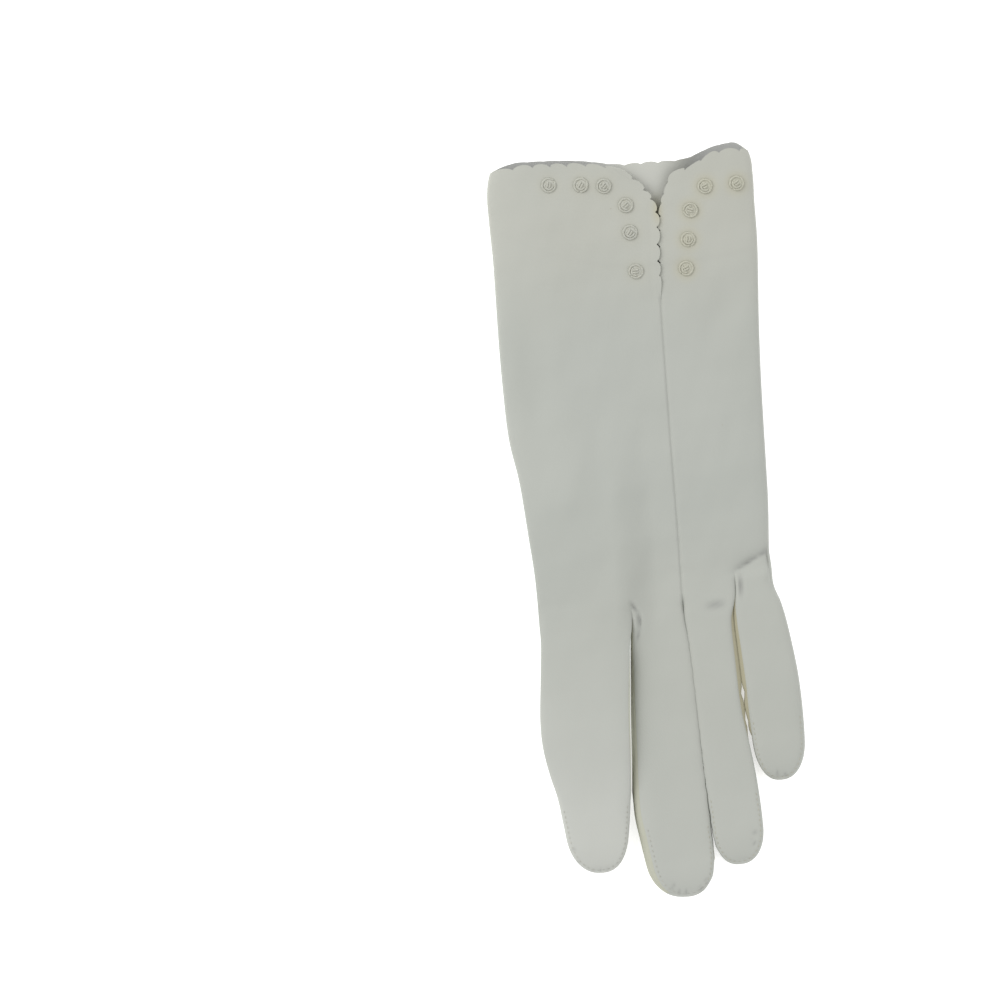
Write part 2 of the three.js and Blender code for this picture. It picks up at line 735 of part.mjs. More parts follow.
const thumbHollow = thumbSkin(cloth);
let trank = shell.subtract(thumbHollow);
[0, 1, 2].forEach((f) => {
  trank = trank.subtract(slitRoom(f, seamGap / 2));
});
glove.add(pieceOf("trank", geometryOf(trank), clothFinish));

const thumb = thumbSkin(0).subtract(thumbHollow).subtract(filled.translate([0, 0, -seamGap]));
glove.add(pieceOf("thumb", geometryOf(thumb), clothFinish));

[0, 1, 2].forEach((f) => {
  const strip = shell.intersect(slitRoom(f, -seamGap / 2));
  const name = `fourchette_${fingers[f].name}_${fingers[f + 1].name}`;
  glove.add(pieceOf(name, geometryOf(strip), fourchetteFinish));
});

rosettePlaces().forEach(([x, y], i) => {
  const step = rosetteWidth / 2;
  const leanX = (backHeight(x + step, y) - backHeight(x - step, y)) / (2 * step);
  const leanY = (backHeight(x, y + step) - backHeight(x, y - step)) / (2 * step);
  const up = new THREE.Vector3(-leanX, -leanY, 1).normalize();
  const rosette = pieceOf(`rosette_${String(i + 1).padStart(2, "0")}`, rosetteGeometry(), threadFinish);
  rosette.position.set(x, y, backHeight(x, y)).addScaledVector(up, seamGap);
  rosette.quaternion.setFromUnitVectors(new THREE.Vector3(0, 0, 1), up);
  glove.add(rosette);
});

// The origin goes to the bottom, under the middle of the whole glove
const bounds = new THREE.Box3().setFromObject(glove);
const centre = bounds.getCenter(new THREE.Vector3());
glove.position.set(-centre.x, -centre.y, -bounds.min.z);

export default glove;
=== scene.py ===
"""A lady's wrist length cotton dress glove for the left hand, lying on its palm on a pale table.
Sizes are in millimetres until a mesh is made. +X runs towards the little finger, +Y towards the
cuff and +Z up, and the crotch beside the middle finger lies at y = crotch_y."""

import bmesh
import bpy
import numpy as np
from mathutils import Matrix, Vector


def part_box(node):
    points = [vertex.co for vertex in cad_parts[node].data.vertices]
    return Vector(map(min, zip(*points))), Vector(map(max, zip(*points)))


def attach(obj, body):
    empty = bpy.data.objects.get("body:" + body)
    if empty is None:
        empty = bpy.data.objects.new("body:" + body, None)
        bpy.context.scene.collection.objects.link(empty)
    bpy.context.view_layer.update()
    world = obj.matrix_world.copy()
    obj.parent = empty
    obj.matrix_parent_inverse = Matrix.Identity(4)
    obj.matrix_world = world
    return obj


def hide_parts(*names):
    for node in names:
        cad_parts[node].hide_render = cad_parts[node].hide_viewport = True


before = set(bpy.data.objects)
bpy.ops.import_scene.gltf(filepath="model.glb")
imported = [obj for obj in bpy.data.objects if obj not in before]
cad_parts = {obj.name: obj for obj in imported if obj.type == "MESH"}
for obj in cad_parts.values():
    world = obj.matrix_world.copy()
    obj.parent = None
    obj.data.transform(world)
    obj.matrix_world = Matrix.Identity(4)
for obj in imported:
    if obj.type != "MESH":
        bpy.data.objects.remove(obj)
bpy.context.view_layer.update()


# Camera, table and light.
# The camera looks straight down, turned a little about its own axis, and the table is a pale
# sheet under two broad soft lamps.

photo_scale = 0.325  # mm of table to each pixel of a 1000 pixel frame
camera_height = 5000.0
view_middle = (-48.07, 11.95)
view_turn = np.radians(-4.5)

eye = bpy.data.cameras.new("eye")
eye.sensor_width = 36.0
eye.lens = 36.0 * camera_height / (photo_scale * 1000)
eye.clip_start, eye.clip_end = 0.01, 20.0
camera = bpy.data.objects.new("camera", eye)
camera.location = (view_middle[0] * 0.001, view_middle[1] * 0.001, camera_height * 0.001)
camera.rotation_euler = (0, 0, view_turn)
bpy.context.scene.collection.objects.link(camera)
bpy.context.scene.camera = camera
bpy.context.scene.view_settings.view_transform = "Standard"


class Sock:
    """A shader socket that can be used in sums: each operator adds a Math node."""

    def __init__(self, tree, socket):
        self.tree, self.socket = tree, socket

    def math(self, operation, *values):
        return node(self.tree, "ShaderNodeMath", {"operation": operation}, *values)

    def __add__(self, other):
        return self.math("ADD", self, other)

    def __sub__(self, other):
        return self.math("SUBTRACT", self, other)

    def __rsub__(self, other):
        return self.math("SUBTRACT", other, self)

    def __mul__(self, other):
        return self.math("MULTIPLY", self, other)

    __radd__, __rmul__ = __add__, __mul__

    def held(self):
        """The value kept between 0 and 1."""
        return self.math("MINIMUM", self.math("MAXIMUM", self, 0.0), 1.0)

    def eased(self, low, high):
        """0 below low and 1 above high, with a smooth step between."""
        t = ((self - low) * (1.0 / (high - low))).held()
        return t * t * (3.0 - 2.0 * t)

    def sine(self):
        return self.math("SINE", self)


def node(tree, kind, settings, *values, output=0):
    """Adds a node, sets its settings first, then its inputs by place or name, and gives an output."""
    made = tree.nodes.new(kind)
    for name, value in settings.items():
        if name == "stops":
            ramp = made.color_ramp
            while len(ramp.elements) < len(value):
                ramp.elements.new(0.5)
            for element, (place, colour) in zip(ramp.elements, value):
                element.position, element.color = place, (*colour, 1.0)
        else:
            setattr(made, name, value)
    pairs = values[0].items() if values and isinstance(values[0], dict) else enumerate(values)
    for key, value in pairs:
        if isinstance(value, Sock):
            tree.links.new(value.socket, made.inputs[key])
        elif value is not None:
            made.inputs[key].default_value = value
    return Sock(tree, made.outputs[output])


def new_finish(name):
    """A material with an empty node tree: the tree and its surface output."""
    finish = bpy.data.materials.new(name)
    finish.use_nodes = True
    tree = finish.node_tree
    tree.nodes.clear()
    out = tree.nodes.new("ShaderNodeOutputMaterial")
    return finish, tree, out


def surface(tree, out, inputs):
    """Joins a principled shader with these inputs to a material's output."""
    shader = node(tree, "ShaderNodeBsdfPrincipled", {}, inputs)
    tree.links.new(shader.socket, out.inputs["Surface"])


def noise(vector, scale, detail, **more):
    """Irregular clouds, from 0 to 1 and about a half in the middle."""
    inputs = {"Vector": vector, "Scale": scale, "Detail": detail, **more}
    return node(vector.tree, "ShaderNodeTexNoise", {}, inputs)


def mesh_of(name, finish, points, faces, uv=None, weld=0.0):
    """A smooth mesh from points in mm and faces; uv is given for each point, and weld joins points
    that lie closer together than that many mm and keeps an open edge sharp."""
    mesh = bpy.data.meshes.new(name)
    mesh.from_pydata((np.asarray(points, float) * 0.001).tolist(), [], np.asarray(faces).tolist())
    if uv is not None:
        corners = np.empty(len(mesh.loops), np.int32)
        mesh.loops.foreach_get("vertex_index", corners)
        layer = mesh.uv_layers.new(name="cloth")
        layer.data.foreach_set("uv", np.asarray(uv, np.float32)[corners].ravel())
    if weld:
        body = bmesh.new()
        body.from_mesh(mesh)
        bmesh.ops.remove_doubles(body, verts=body.verts, dist=weld * 0.001)
        for edge in body.edges:
            edge.smooth = not edge.is_boundary
        body.to_mesh(mesh)
        body.free()
    mesh.polygons.foreach_set("use_smooth", np.ones(len(mesh.polygons), bool))
    mesh.materials.append(finish)
    piece = bpy.data.objects.new(name, mesh)
    bpy.context.scene.collection.objects.link(piece)
    return piece


def grid_faces(rows, cols, first=0):
    """Quads over a grid of points that are numbered row by row from first."""
    number = first + np.arange(rows * cols).reshape(rows, cols)
    quads = np.stack([number[:-1, :-1], number[:-1, 1:], number[1:, 1:], number[1:, :-1]], -1)
    return quads.reshape(-1, 4)


table_finish, tree, out = new_finish("table_white")
place = node(tree, "ShaderNodeTexCoord", {}, output=3)
shade = node(tree, "ShaderNodeValToRGB", {
    "stops": [(0.3, (0.86, 0.86, 0.86)), (0.7, (0.88, 0.88, 0.88))]}, noise(place, 40.0, 4.0))
surface(tree, out, {
    "Base Color": shade, "Roughness": 0.9, "Emission Color": (1.0, 1.0, 1.0, 1.0),
    "Emission Strength": 0.55})

reach = 3000.0
corners = np.array([[-reach, -reach, 0], [reach, -reach, 0], [reach, reach, 0], [-reach, reach, 0]])
tabletop = mesh_of("tabletop", table_finish, corners, [[0, 1, 2, 3]])


def soft_lamp(name, place, size, watts):
    """A square lamp at a place in metres, turned to face the middle of the glove."""
    lamp = bpy.data.lights.new(name, "AREA")
    lamp.size, lamp.energy = size, watts
    hung = bpy.data.objects.new(name, lamp)
    hung.location = place
    hung.rotation_euler = (-hung.location).to_track_quat("-Z", "Y").to_euler()
    bpy.context.scene.collection.objects.link(hung)


soft_lamp("lamp_left", (-1.1, 0.9, 1.15), 1.4, 19.0)
soft_lamp("lamp_right", (1.3, -0.5, 1.4), 1.6, 8.0)

sky = bpy.data.worlds.new("studio")
sky.use_nodes = True
sky.node_tree.nodes["Background"].inputs["Color"].default_value = (1.0, 1.0, 1.0, 1.0)
sky.node_tree.nodes["Background"].inputs["Strength"].default_value = 0.75
bpy.context.scene.world = sky


# The trank: one piece of smooth cotton folded round the hand, sewn down the middle of the back.
# It is the palm, both halves of the back and the front and back of each finger. Its cuff and both
# edges of the vent are cut in scallops, and its wall is a single thickness of cloth.

palm_width = 78.0
hand_length = 148.2
middle_length = 94.7
thumb_reach = 33.0
thumb_length = 106.0
hand_height = 8.6
finger_height = 7.6
thumb_height = 6.8
thumb_room = 0.45  # between the thumb and the cloth that it lifts
side_room = 0.95  # the same, beside the thumb
tip_room = 3.2  # the same, past its tip
drape = 14.0  # over which the palm comes down beside the thumb
thumb_rise = 46.0  # over which the palm climbs on to it
thumb_fall = 40.0  # over which the index finger comes down past its tip
past_drape = 20.0  # over which the other fingers leave its climb, past the crotches
pressed = 0.45  # share of that climb by which the glove above is flatter
wall = 0.6  # thickness of the cloth that shows
weld_reach = 0.003  # points closer than this are one
crotch_y = middle_length - (hand_length + middle_length) / 2
cuff_y = crotch_y + hand_length
foot_y = crotch_y + 0.67 * hand_length  # foot of the vent
vent_opens_y = 99.0  # where its two leaves begin to part
centring = (-0.065, 0.094, 0.0)  # from these sizes to the middle of the CAD box

# along from the crotch to the cuff, then the left and the right edge, in palm widths
hand_outline = np.array([
    (0.0, -0.494, 0.49), (0.05, -0.497, 0.49), (0.092, -0.5, 0.476), (0.13, -0.504, 0.487),
    (0.21, -0.515, 0.497), (0.3, -0.531, 0.501), (0.39, -0.559, 0.504), (0.5, -0.568, 0.509),
    (0.61, -0.57, 0.518), (0.78, -0.567, 0.537), (0.87, -0.571, 0.538), (0.93, -0.57, 0.54),
    (0.975, -0.551, 0.532), (1.03, -0.49, 0.48),
])
# each finger: length, place of its tip, and its edges from crotch to tip, in palm widths
fingers = [
    (84.8, -0.31, np.array([
        (0.0, -0.494, -0.107), (0.1, -0.493, -0.12), (0.25, -0.507, -0.139), (0.4, -0.521, -0.153),
        (0.5, -0.519, -0.157), (0.6, -0.501, -0.162), (0.7, -0.474, -0.169), (0.8, -0.459, -0.181),
        (0.9, -0.445, -0.196), (1.0, -0.43, -0.205)])),
    (94.7, 0.036, np.array([
        (0.0, -0.107, 0.11), (0.1, -0.12, 0.119), (0.25, -0.128, 0.13), (0.4, -0.14, 0.135),
        (0.6, -0.158, 0.143), (0.7, -0.162, 0.149), (0.8, -0.145, 0.155), (0.9, -0.126, 0.156),
        (1.0, -0.11, 0.15)])),
    (85.5, 0.262, np.array([
        (0.0, 0.11, 0.333), (0.06, 0.115, 0.317), (0.13, 0.12, 0.305), (0.25, 0.127, 0.307),
        (0.45, 0.135, 0.318), (0.6, 0.141, 0.345), (0.75, 0.149, 0.364), (0.9, 0.159, 0.372),
        (1.0, 0.162, 0.37)])),
    (59.2, 0.46, np.array([
        (0.0, 0.333, 0.49), (0.09, 0.326, 0.508), (0.19, 0.328, 0.529), (0.33, 0.336, 0.549),
        (0.5, 0.345, 0.5665), (0.68, 0.349, 0.573), (0.87, 0.358, 0.571), (1.0, 0.363, 0.566)])),
]
crotch_line = np.array([(-0.494, 0.0), (-0.107, -0.006), (0.11, 0.0), (0.333, 0.038), (0.49, 0.05)])
thumb_edges = np.array([
    (0.0, -0.38, -0.3), (0.025, -0.425, -0.262), (0.07, -0.458, -0.222), (0.14, -0.478, -0.192),
    (0.25, -0.484, -0.178), (0.5, -0.478, -0.176), (0.75, -0.472, -0.192), (1.0, -0.464, -0.218),
])
# across, then how far the palm's and the back's edge lie below the top of the cuff
cuff_edges = np.array([
    (-0.6, 0.046, 0.046), (-0.549, 0.0256, 0.0262), (-0.53, 0.0187, 0.0205), (-0.5, 0.0112, 0.0163),
    (-0.457, 0.0053, 0.0138), (-0.4, 0.0052, 0.0122), (-0.3, 0.0068, 0.0144), (-0.2, 0.0104, 0.0168),
    (-0.12, 0.0163, 0.0217), (-0.05, 0.0236, 0.0298), (0.013, 0.0265, 0.0385), (0.07, 0.0258, 0.045),
    (0.155, 0.0262, 0.049), (0.2, 0.027, 0.0495), (0.264, 0.0243, 0.0436), (0.313, 0.0165, 0.0316),
    (0.348, 0.0095, 0.021), (0.385, 0.004, 0.0136), (0.42, 0.0, 0.0112), (0.46, -0.002, 0.0103),
    (0.4935, -0.0027, 0.0115), (0.515, 0.0083, 0.0155), (0.6, 0.06, 0.06),
])
# along the hand, then the two edges of the vent
vent_edges = np.array([
    (0.62, 0.1165, 0.1165), (0.67, 0.118, 0.118), (0.723, 0.1205, 0.1205), (0.754, 0.1215, 0.1215),
    (0.791, 0.1255, 0.1255), (0.828, 0.1305, 0.131), (0.857, 0.132, 0.138), (0.8856, 0.124, 0.148),
    (0.909, 0.099, 0.166), (0.937, 0.0574, 0.19), (0.948, 0.03, 0.206), (0.9646, -0.0137, 0.26),
])
# where the notches between scallops lie: across on each leaf and on the palm, and up the vent
left_notches = [-35.6, -29.4, -23.8, -18.6, -12.5, -6.5]
right_notches = [38.4, 31.9, 25.7, 20.6]
palm_notches = np.arange(-36.6, 39.0, 5.35)
vent_notches = np.array([116.2, 112.2, 108.3, 105.3, 100.9, 96.07, 90.5, 85.05, 80.4, 75.6, 72.5])
seam_line = np.array([(-26.75, 8.58), (-5.6, 8.86), (27.0, 8.87), (60.0, 9.08), (72.54, 9.2)])

soft = 4.2  # power of a rounded section, on a folded side
crisp = 7.5  # and on a side that is sewn to a strip
fold_v = 0.53  # height share at which a side begins
folded_sides = ((0, -1), (3, 1))  # finger and side, where a fold takes the place of a strip
tip_round = 12.0  # over which a finger's outline closes round its tip
tip_power = 2.3
tip_thin = 0.42  # height of the very end of a finger, as a share of the finger's height
tip_shut = 2.2  # over which the back and the underside meet at the very end
strip_end = 8.5  # from a fingertip to the end of the strip beside it
fold_root = 0.94  # width of the folded side at the root of a finger
crotch_blend = 26.0  # how far the valleys between the fingers run into the hand
notch_depth, notch_fade = 1.2, 4.0  # of the cuff's scallops
palm_bow = 5.2  # how far the palm bows up where the vent stands open
top_steps, palm_steps, side_steps = 36, 18, 6
vent_rows, hand_rows, finger_rows = 70, 60, 42
# columns of a finger: where the back, the left side and the underside end
over_count = top_steps + 1
left_count = over_count + side_steps - 1
under_count = left_count + palm_steps + 1
side_first = {-1: over_count - 1, 1: under_count - 1}


def ease(share):
    """A smooth step: 3 t squared minus 2 t cubed, with t kept between 0 and 1."""
    t = np.clip(share, 0, 1)
    return t * t * (3 - 2 * t)


def mix(a, b, share):
    return a + (b - a) * share


def swell(share, power):
    """Height of a rounded section: the power-th root of 1 minus |share| to that power."""
    return (1 - np.minimum(np.abs(share), 1) ** power) ** (1 / power)


def follow(rows, place, column):
    """A smooth curve through a column of a table: a cubic between rows, whose slope at each row
    is that of the line between its two neighbours."""
    keys, values = rows[:, 0], rows[:, column]
    near = np.clip(np.arange(len(keys))[:, None] + [-1, 1], 0, len(keys) - 1)
    slopes = np.diff(values[near])[:, 0] / np.diff(keys[near])[:, 0]
    i = np.searchsorted(keys[1:-1], place)
    span, rise = keys[i + 1] - keys[i], values[i + 1] - values[i]
    t = np.clip((place - keys[i]) / span, 0, 1)
    start, end = slopes[i] * span, slopes[i + 1] * span
    return values[i] + t * (start + t * ((start + end - 2 * rise) * t + 3 * rise - 2 * start - end))


def edges_at(outline, along):
    return follow(outline, along, 1) * palm_width, follow(outline, along, 2) * palm_width


def crotch_at(x):
    """How far towards the cuff the crotch line lies at a place across."""
    return crotch_y + follow(crotch_line, x / palm_width, 1) * hand_length


def lift(x, y, own):
    """How high the thumb, lying beneath, lifts the cloth: its height times smooth steps, up from
    its root, down past its tip and down beside it. Past the crotch, own takes the place of the
    step beside it, which is 1 for the index finger and 0 for the others."""
    tip_y = crotch_y - thumb_reach
    base_y = tip_y + thumb_length
    climb = ease((base_y - y) / thumb_rise) * ease((y - tip_y + thumb_fall + tip_room) / thumb_fall)
    share = np.clip((base_y - y) / thumb_length, 0.25, 1)
    side = follow(thumb_edges, share, 2) * palm_width + side_room
    spread = 1 - ease((x - side) / drape)
    past = ease((crotch_y - y) / past_drape)
    return (thumb_height + thumb_room) * climb * mix(spread, own, past)


# broad folds and dents in the back: across, along, turn, length, width, height
folds = [
    (0.415, 0.085, 30, 0.15, 0.05, -0.09),
    (-0.185, 0.353, 88, 0.3, 0.11, -0.1), (-0.44, 0.518, 91, 0.6, 0.09, -0.09),
    (-0.249, 0.202, 12, 0.3, 0.12, -0.08), (0.381, 0.638, 65, 0.26, 0.09, -0.08),
    (-0.08, 0.12, 70, 0.3, 0.12, 0.07),
]
# small creases in mm: place, turn, length, width, height
creases = [
    (-7.4, -26.4, -57, 3.0, 0.7, -0.9), (-5.9, -30.8, 94, 3.8, 0.75, -1.1),
    (-6.7, -35.4, 76, 3.0, 0.8, -0.6), (-7.5, -31.0, 90, 4.0, 0.8, 0.4),
    (30.9, -14.4, 27, 7.8, 0.95, -1.15), (36.0, -11.8, 32, 2.5, 1.1, -0.5),
    (27.8, -22.3, 88, 5.2, 1.1, -0.85), (19.2, -27.6, 5, 5.0, 1.7, -0.6),
    (-30.0, 62.0, 80, 16.0, 3.5, -0.22), (28.0, 30.0, 84, 20.0, 5.0, -0.2),
    (-24.0, 15.0, 75, 22.0, 6.0, 0.25), (24.0, 62.0, -70, 14.0, 5.0, -0.2),
    (-27.0, 80.7, 60, 1.0, 0.4, -0.3),
]
# soft low waves all over the back: wave length in mm, turn, start, height
waves = [(31, 20, 0.3, 0.12), (23, 75, 1.7, 0.1), (17, 130, 4.1, 0.07),
         (13, 50, 2.2, 0.05), (9, 100, 5.5, 0.035), (7, 160, 0.9, 0.025)]
pucker_length, pucker_width, pucker_depth = 1.7, 0.5, 0.45
# puckers where the fingertips are gathered: place and turn
puckers = [
    (-33.4, -103.4, 10), (-32.2, -107.4, 30), (-27.6, -111.0, 60), (-25.0, -111.0, 80),
    (-22.7, -111.2, 95), (-17.4, -109.2, 130), (-15.3, -106.8, 150), (-1.8, -117.6, 50),
    (0.0, -119.6, 75), (2.3, -119.9, 90), (7.2, -119.0, 115), (9.3, -116.8, 135),
    (26.3, -102.4, 165), (25.4, -105.4, 140), (34.8, -83.6, 90), (37.4, -84.4, 105),
]


def bell(x, y, across, along, turn, length, width):
    """A long hill of height 1 with squarer ends: exp(-2 u^2 - 2 v^2 - 2 u^4), where u runs along
    its length and v across it."""
    c, s = np.cos(np.radians(turn)), np.sin(np.radians(turn))
    dx, dy = x - across, y - along
    u, v = (dx * c + dy * s) / length, (dy * c - dx * s) / width
    return np.exp(-2 * (u * u + v * v) - 2 * u ** 4)


def soil(x, y):
    """Painted shade in the narrow creases and puckers: how much darker the cloth's colour is made there,
    from 0 to 1.
    """
    deep = [row[:5] for row in creases if row[5] < -pucker_depth]
    total = sum(bell(x, y, *row) for row in deep)
    total = total + 0.9 * sum(bell(x, y, *row, pucker_length, pucker_width) for row in puckers)
    return np.minimum(total, 1)


def dents(x, y):
    """Sum of the folds, creases and puckers, each its height times a bell, and of the waves, each
    its height times a sine whose crests wander on another sine."""
    total = np.zeros(np.broadcast(x, y).shape)
    rows = [(across * palm_width, crotch_y + along * hand_length, turn,
             length * palm_width, width * palm_width, height * hand_height)
            for across, along, turn, length, width, height in folds]
    rows += creases + [(*row, pucker_length, pucker_width, -pucker_depth) for row in puckers]
    for row in rows:
        total = total + row[5] * bell(x, y, *row[:5])
    for wave, turn, start, height in waves:
        c, s = np.cos(np.radians(turn)), np.sin(np.radians(turn))
        bend = np.sin((x * s - y * c) / 19.0 + start)
        total = total + height * np.sin(2 * np.pi * (x * c + y * s) / wave + start + bend)
    return total


def bulge(index, side):
    """The power of a finger's rounded section on one side; the middle finger's left is rolled."""
    return soft if (index, side) in ((0, -1), (1, -1), (3, 1)) else crisp


def seam_height(index, side, along):
    """Where the seam beside a finger runs, as a share of half the finger's height. It draws to a
    point at the fingertip; the middle finger lies rolled, so its left side shows."""
    if (index, side) in folded_sides:
        return np.full(np.shape(along), fold_v)
    if (index, side) == (1, -1):
        rows = np.array([(0, 0.72), (0.3, 0.76), (0.5, 0.84), (0.75, 0.89), (1, 0.9)])
    elif (index, side) in ((2, 1), (3, -1)):
        rows = np.array([(0, 0.72), (0.22, 0.84), (0.6, 0.82), (0.8, 0.6), (0.92, 0.12), (1, 0.1)])
    else:
        rows = np.array([(0, 0.72), (0.08, 0.8), (0.7, 0.76), (0.9, 0.12), (1, 0.1)])
    return np.interp(along, rows[:, 0], rows[:, 1])


# where two neighbouring fingers part: place along the hand, and over how much
partings = {0: (-86.0, 14.0), 2: (-68.0, 8.0)}
# spots where the slit beside the little finger gapes: place along, half length, half width
gapes = [(-56.8, 1.7, 0.62), (-66.0, 2.0, 0.45)]
shut_gap, open_gap = 0.01, 3.0


def half_gap(between, y):
    """Half the room between the two halves of a strip: next to nothing, plus a bell curve,
    exp(-u^2), at each spot that gapes, plus a smooth step where the fingers part."""
    gap = np.full(np.shape(y), shut_gap)
    if between == 2:
        gap = gap + sum(width * np.exp(-(((y - place) / reach) ** 2)) for place, reach, width in gapes)
    if between in partings:
        place, reach = partings[between]
        gap = gap + open_gap * ease((place - y) / reach)
    return gap


def sway(y):
    """How far the seam between the middle and ring finger wanders to the side: a sine of y whose
    phase is itself a slow sine of y, faded in below the crotch."""
    return 0.09 * np.sin(y * 1.25 + 1.3 * np.sin(y * 0.31)) * ease((crotch_y - 4.0 - y) / 8.0)


def slit_middle(between, y):
    """The line half way between the seams that face each other across a slit, each taken from its
    finger's outline at that place along the hand."""
    root = crotch_at(fingers[between][2][0, 2] * palm_width)
    right = follow(fingers[between][2], (root - y) / (root - crotch_y + fingers[between][0]), 2)
    left = follow(fingers[between + 1][2], (root - y) / (root - crotch_y + fingers[between + 1][0]), 1)
    return (right + left) / 2 * palm_width


def groove(x, y):
    """The seam down the middle of the back: a fine groove, the exp of minus the squared distance,
    with puckers on a sine that fade beside it. Smooth steps end it at the foot of the vent and
    just past the crotch."""
    away = x - follow(seam_line, np.clip(y, seam_line[0, 0], foot_y), 1)
    pucker = 0.08 * np.sin(2 * np.pi * y / 5.3 + 1.5 * np.sin(y / 9.0)) * np.exp(-np.abs(away) / 2.2)
    closed = (1 - ease((y - foot_y) / 3.0)) * (1 - ease((crotch_y - y) / 4.0))
    return closed * (pucker - 0.42 * np.exp(-((away / 0.45) ** 2)))


def section(index, along):
    """The columns round a finger at each place along it, from the right seam over the back to the
    left, round the left side, under the palm and up the right side: p across from -1 to 1, and v,
    the height from -1 to 1. Over and under, p follows a sine so that columns crowd at the seams."""
    vl, vr = seam_height(index, -1, along), seam_height(index, 1, along)
    power_l, power_r = bulge(index, -1), bulge(index, 1)
    pl, pr = swell(vl, power_l), swell(vr, power_r)
    t = np.linspace(0, 1, top_steps + 1)
    over = np.sin(mix(np.arcsin(pr), -np.arcsin(pl), t))
    t = np.linspace(0, 1, palm_steps + 1)
    under = np.sin(mix(-np.arcsin(pl), np.arcsin(pr), t))
    t = np.linspace(-1, 1, side_steps + 1)[1:-1]
    fall = np.sign(t) * np.abs(t) ** 0.2
    left, right = -vl * fall, vr * fall
    p = np.hstack([over, -swell(left, power_l), under, swell(right, power_r)])
    v = np.hstack([swell(over, np.where(over < 0, power_l, power_r)), left,
                   -swell(under, np.where(under < 0, power_l, power_r)), right])
    return p, v


def root_across(index, p):
    """Where each column of a finger starts on the crotch line: in step with p between the seams,
    and within the width of the fold on a folded side."""
    edge = fingers[index][2][0, 1:] * palm_width
    low = edge[0] + (fold_root if index == 0 else 0)
    high = edge[1] - (fold_root if index == 3 else 0)
    vl, vr = seam_height(index, -1, 0.0), seam_height(index, 1, 0.0)
    pl, pr = swell(vl, bulge(index, -1)), swell(vr, bulge(index, 1))
    x = mix(low, high, (p + pl) / (pl + pr))
    x = np.where(p < -pl, mix(low, edge[0], (-pl - p) / (1 - pl)), x)
    return np.where(p > pr, mix(high, edge[1], (p - pr) / (1 - pr)), x)


def raised(v):
    """A share of height as it lies: the underside is pressed flat on the table."""
    return np.where(v > 0, v, np.maximum(-1, 1.12 * v))


def finger_places(index):
    """Rows along a finger from crotch to tip, with one where the strip beside it ends."""
    length = fingers[index][0]
    start = 1 - tip_round / length
    end = 1 - strip_end / length
    straight = mix(0, start, np.linspace(0, 1, finger_rows + 1) ** 1.4)
    turn = mix(start, end, np.array([0.35, 0.7, 1.0]))
    last = mix(end, 1, np.sin(np.pi / 2 * np.linspace(0, 1, 13)[1:]))
    return np.concatenate([straight, turn, last])[:, None]


def bridged(x, y, along, index, way, first, round_):
    """Draws the strip on one side of a finger out to the line where it meets its other half, less
    half the gap there. The draw is a sine of the strip's width, 0 at both of its seams, times a
    smooth step past the crotch, and stops where the tip begins to round."""
    count = side_steps + 1 if way < 0 else side_steps
    side = slice(first, first + count)
    t = np.linspace(0, 1, side_steps + 1)[:count]
    own = x[:, side]
    between = index if way > 0 else index - 1
    meet = slit_middle(between, y[:, side]) + (sway(y[:, side]) if between == 1 else 0.0)
    meet = meet - way * half_gap(between, y[:, side]) * ease(along / 0.05)
    bow = np.sin(np.pi * t) ** 6 if (index, way) == (1, -1) else np.minimum(1, 1.3 * np.sin(np.pi * t))
    drawn = bow * ease(along / 0.04) * (round_ >= 1)
    out = x.copy()
    out[:, side] = mix(own, np.maximum(own * way, meet * way) * way, drawn)
    return out


def tip_swell(along, length):
    """How wide a finger still is: 1 until its tip begins to round, then a swell down to 0."""
    start = 1 - tip_round / length
    return swell(np.clip((along - start) / (1 - start), 0, 1), tip_power)


def finger_skin(index):
    """Points of a finger: each column keeps its place across from the crotch line into the
    rounded outline, whose half width and height close round the tip."""
    length, tip, outline = fingers[index]
    along = finger_places(index)
    own_p, own_v = section(index, along)
    root_p, root_v = section(index, np.zeros((1, 1)))
    root_x = root_across(index, root_p)
    y = mix(crotch_at(root_x), crotch_y - length, along)
    round_ = tip_swell(along, length)
    end = 1 - tip_shut / length
    close = np.sqrt(1 - np.clip((along - end) / (1 - end), 0, 1) ** 2)
    blend = ease(along / 0.13)
    low, high = edges_at(outline, along)
    if index == 1:
        high = high + sway(y)
    if index == 2:
        low = low + sway(y)
    middle = mix(tip * palm_width, (low + high) / 2, round_ ** 0.7)
    half = (high - low) / 2 * round_
    for way in (-1, 1):  # on a crisp side the seam itself lies on the outline
        if bulge(index, way) == crisp:
            widest = swell(seam_height(index, way, along), crisp)
            own_p = np.where(own_p * way > 0, own_p / widest, own_p)
    x = mix(root_x, middle + half * np.clip(own_p, -1, 1), blend)
    for way, first in side_first.items():
        if (index, way) not in folded_sides:
            x = bridged(x, y, along, index, way, first, round_)
    climb = lift(x, y, float(index == 0))
    height = (finger_height - pressed * climb) * mix(tip_thin, 1, round_)
    up = raised(mix(root_v, own_v, blend))
    z = height / 2 * (1 + up * close) + climb
    z = z + dents(x, y) * np.maximum(up, 0) * mix(1, 0.6, blend) * round_ ** 0.5
    z = z + groove(x, y) * np.clip(mix(root_v, own_v, blend) / fold_v, 0, 1)
    return np.stack(np.broadcast_arrays(x, y, z), -1)


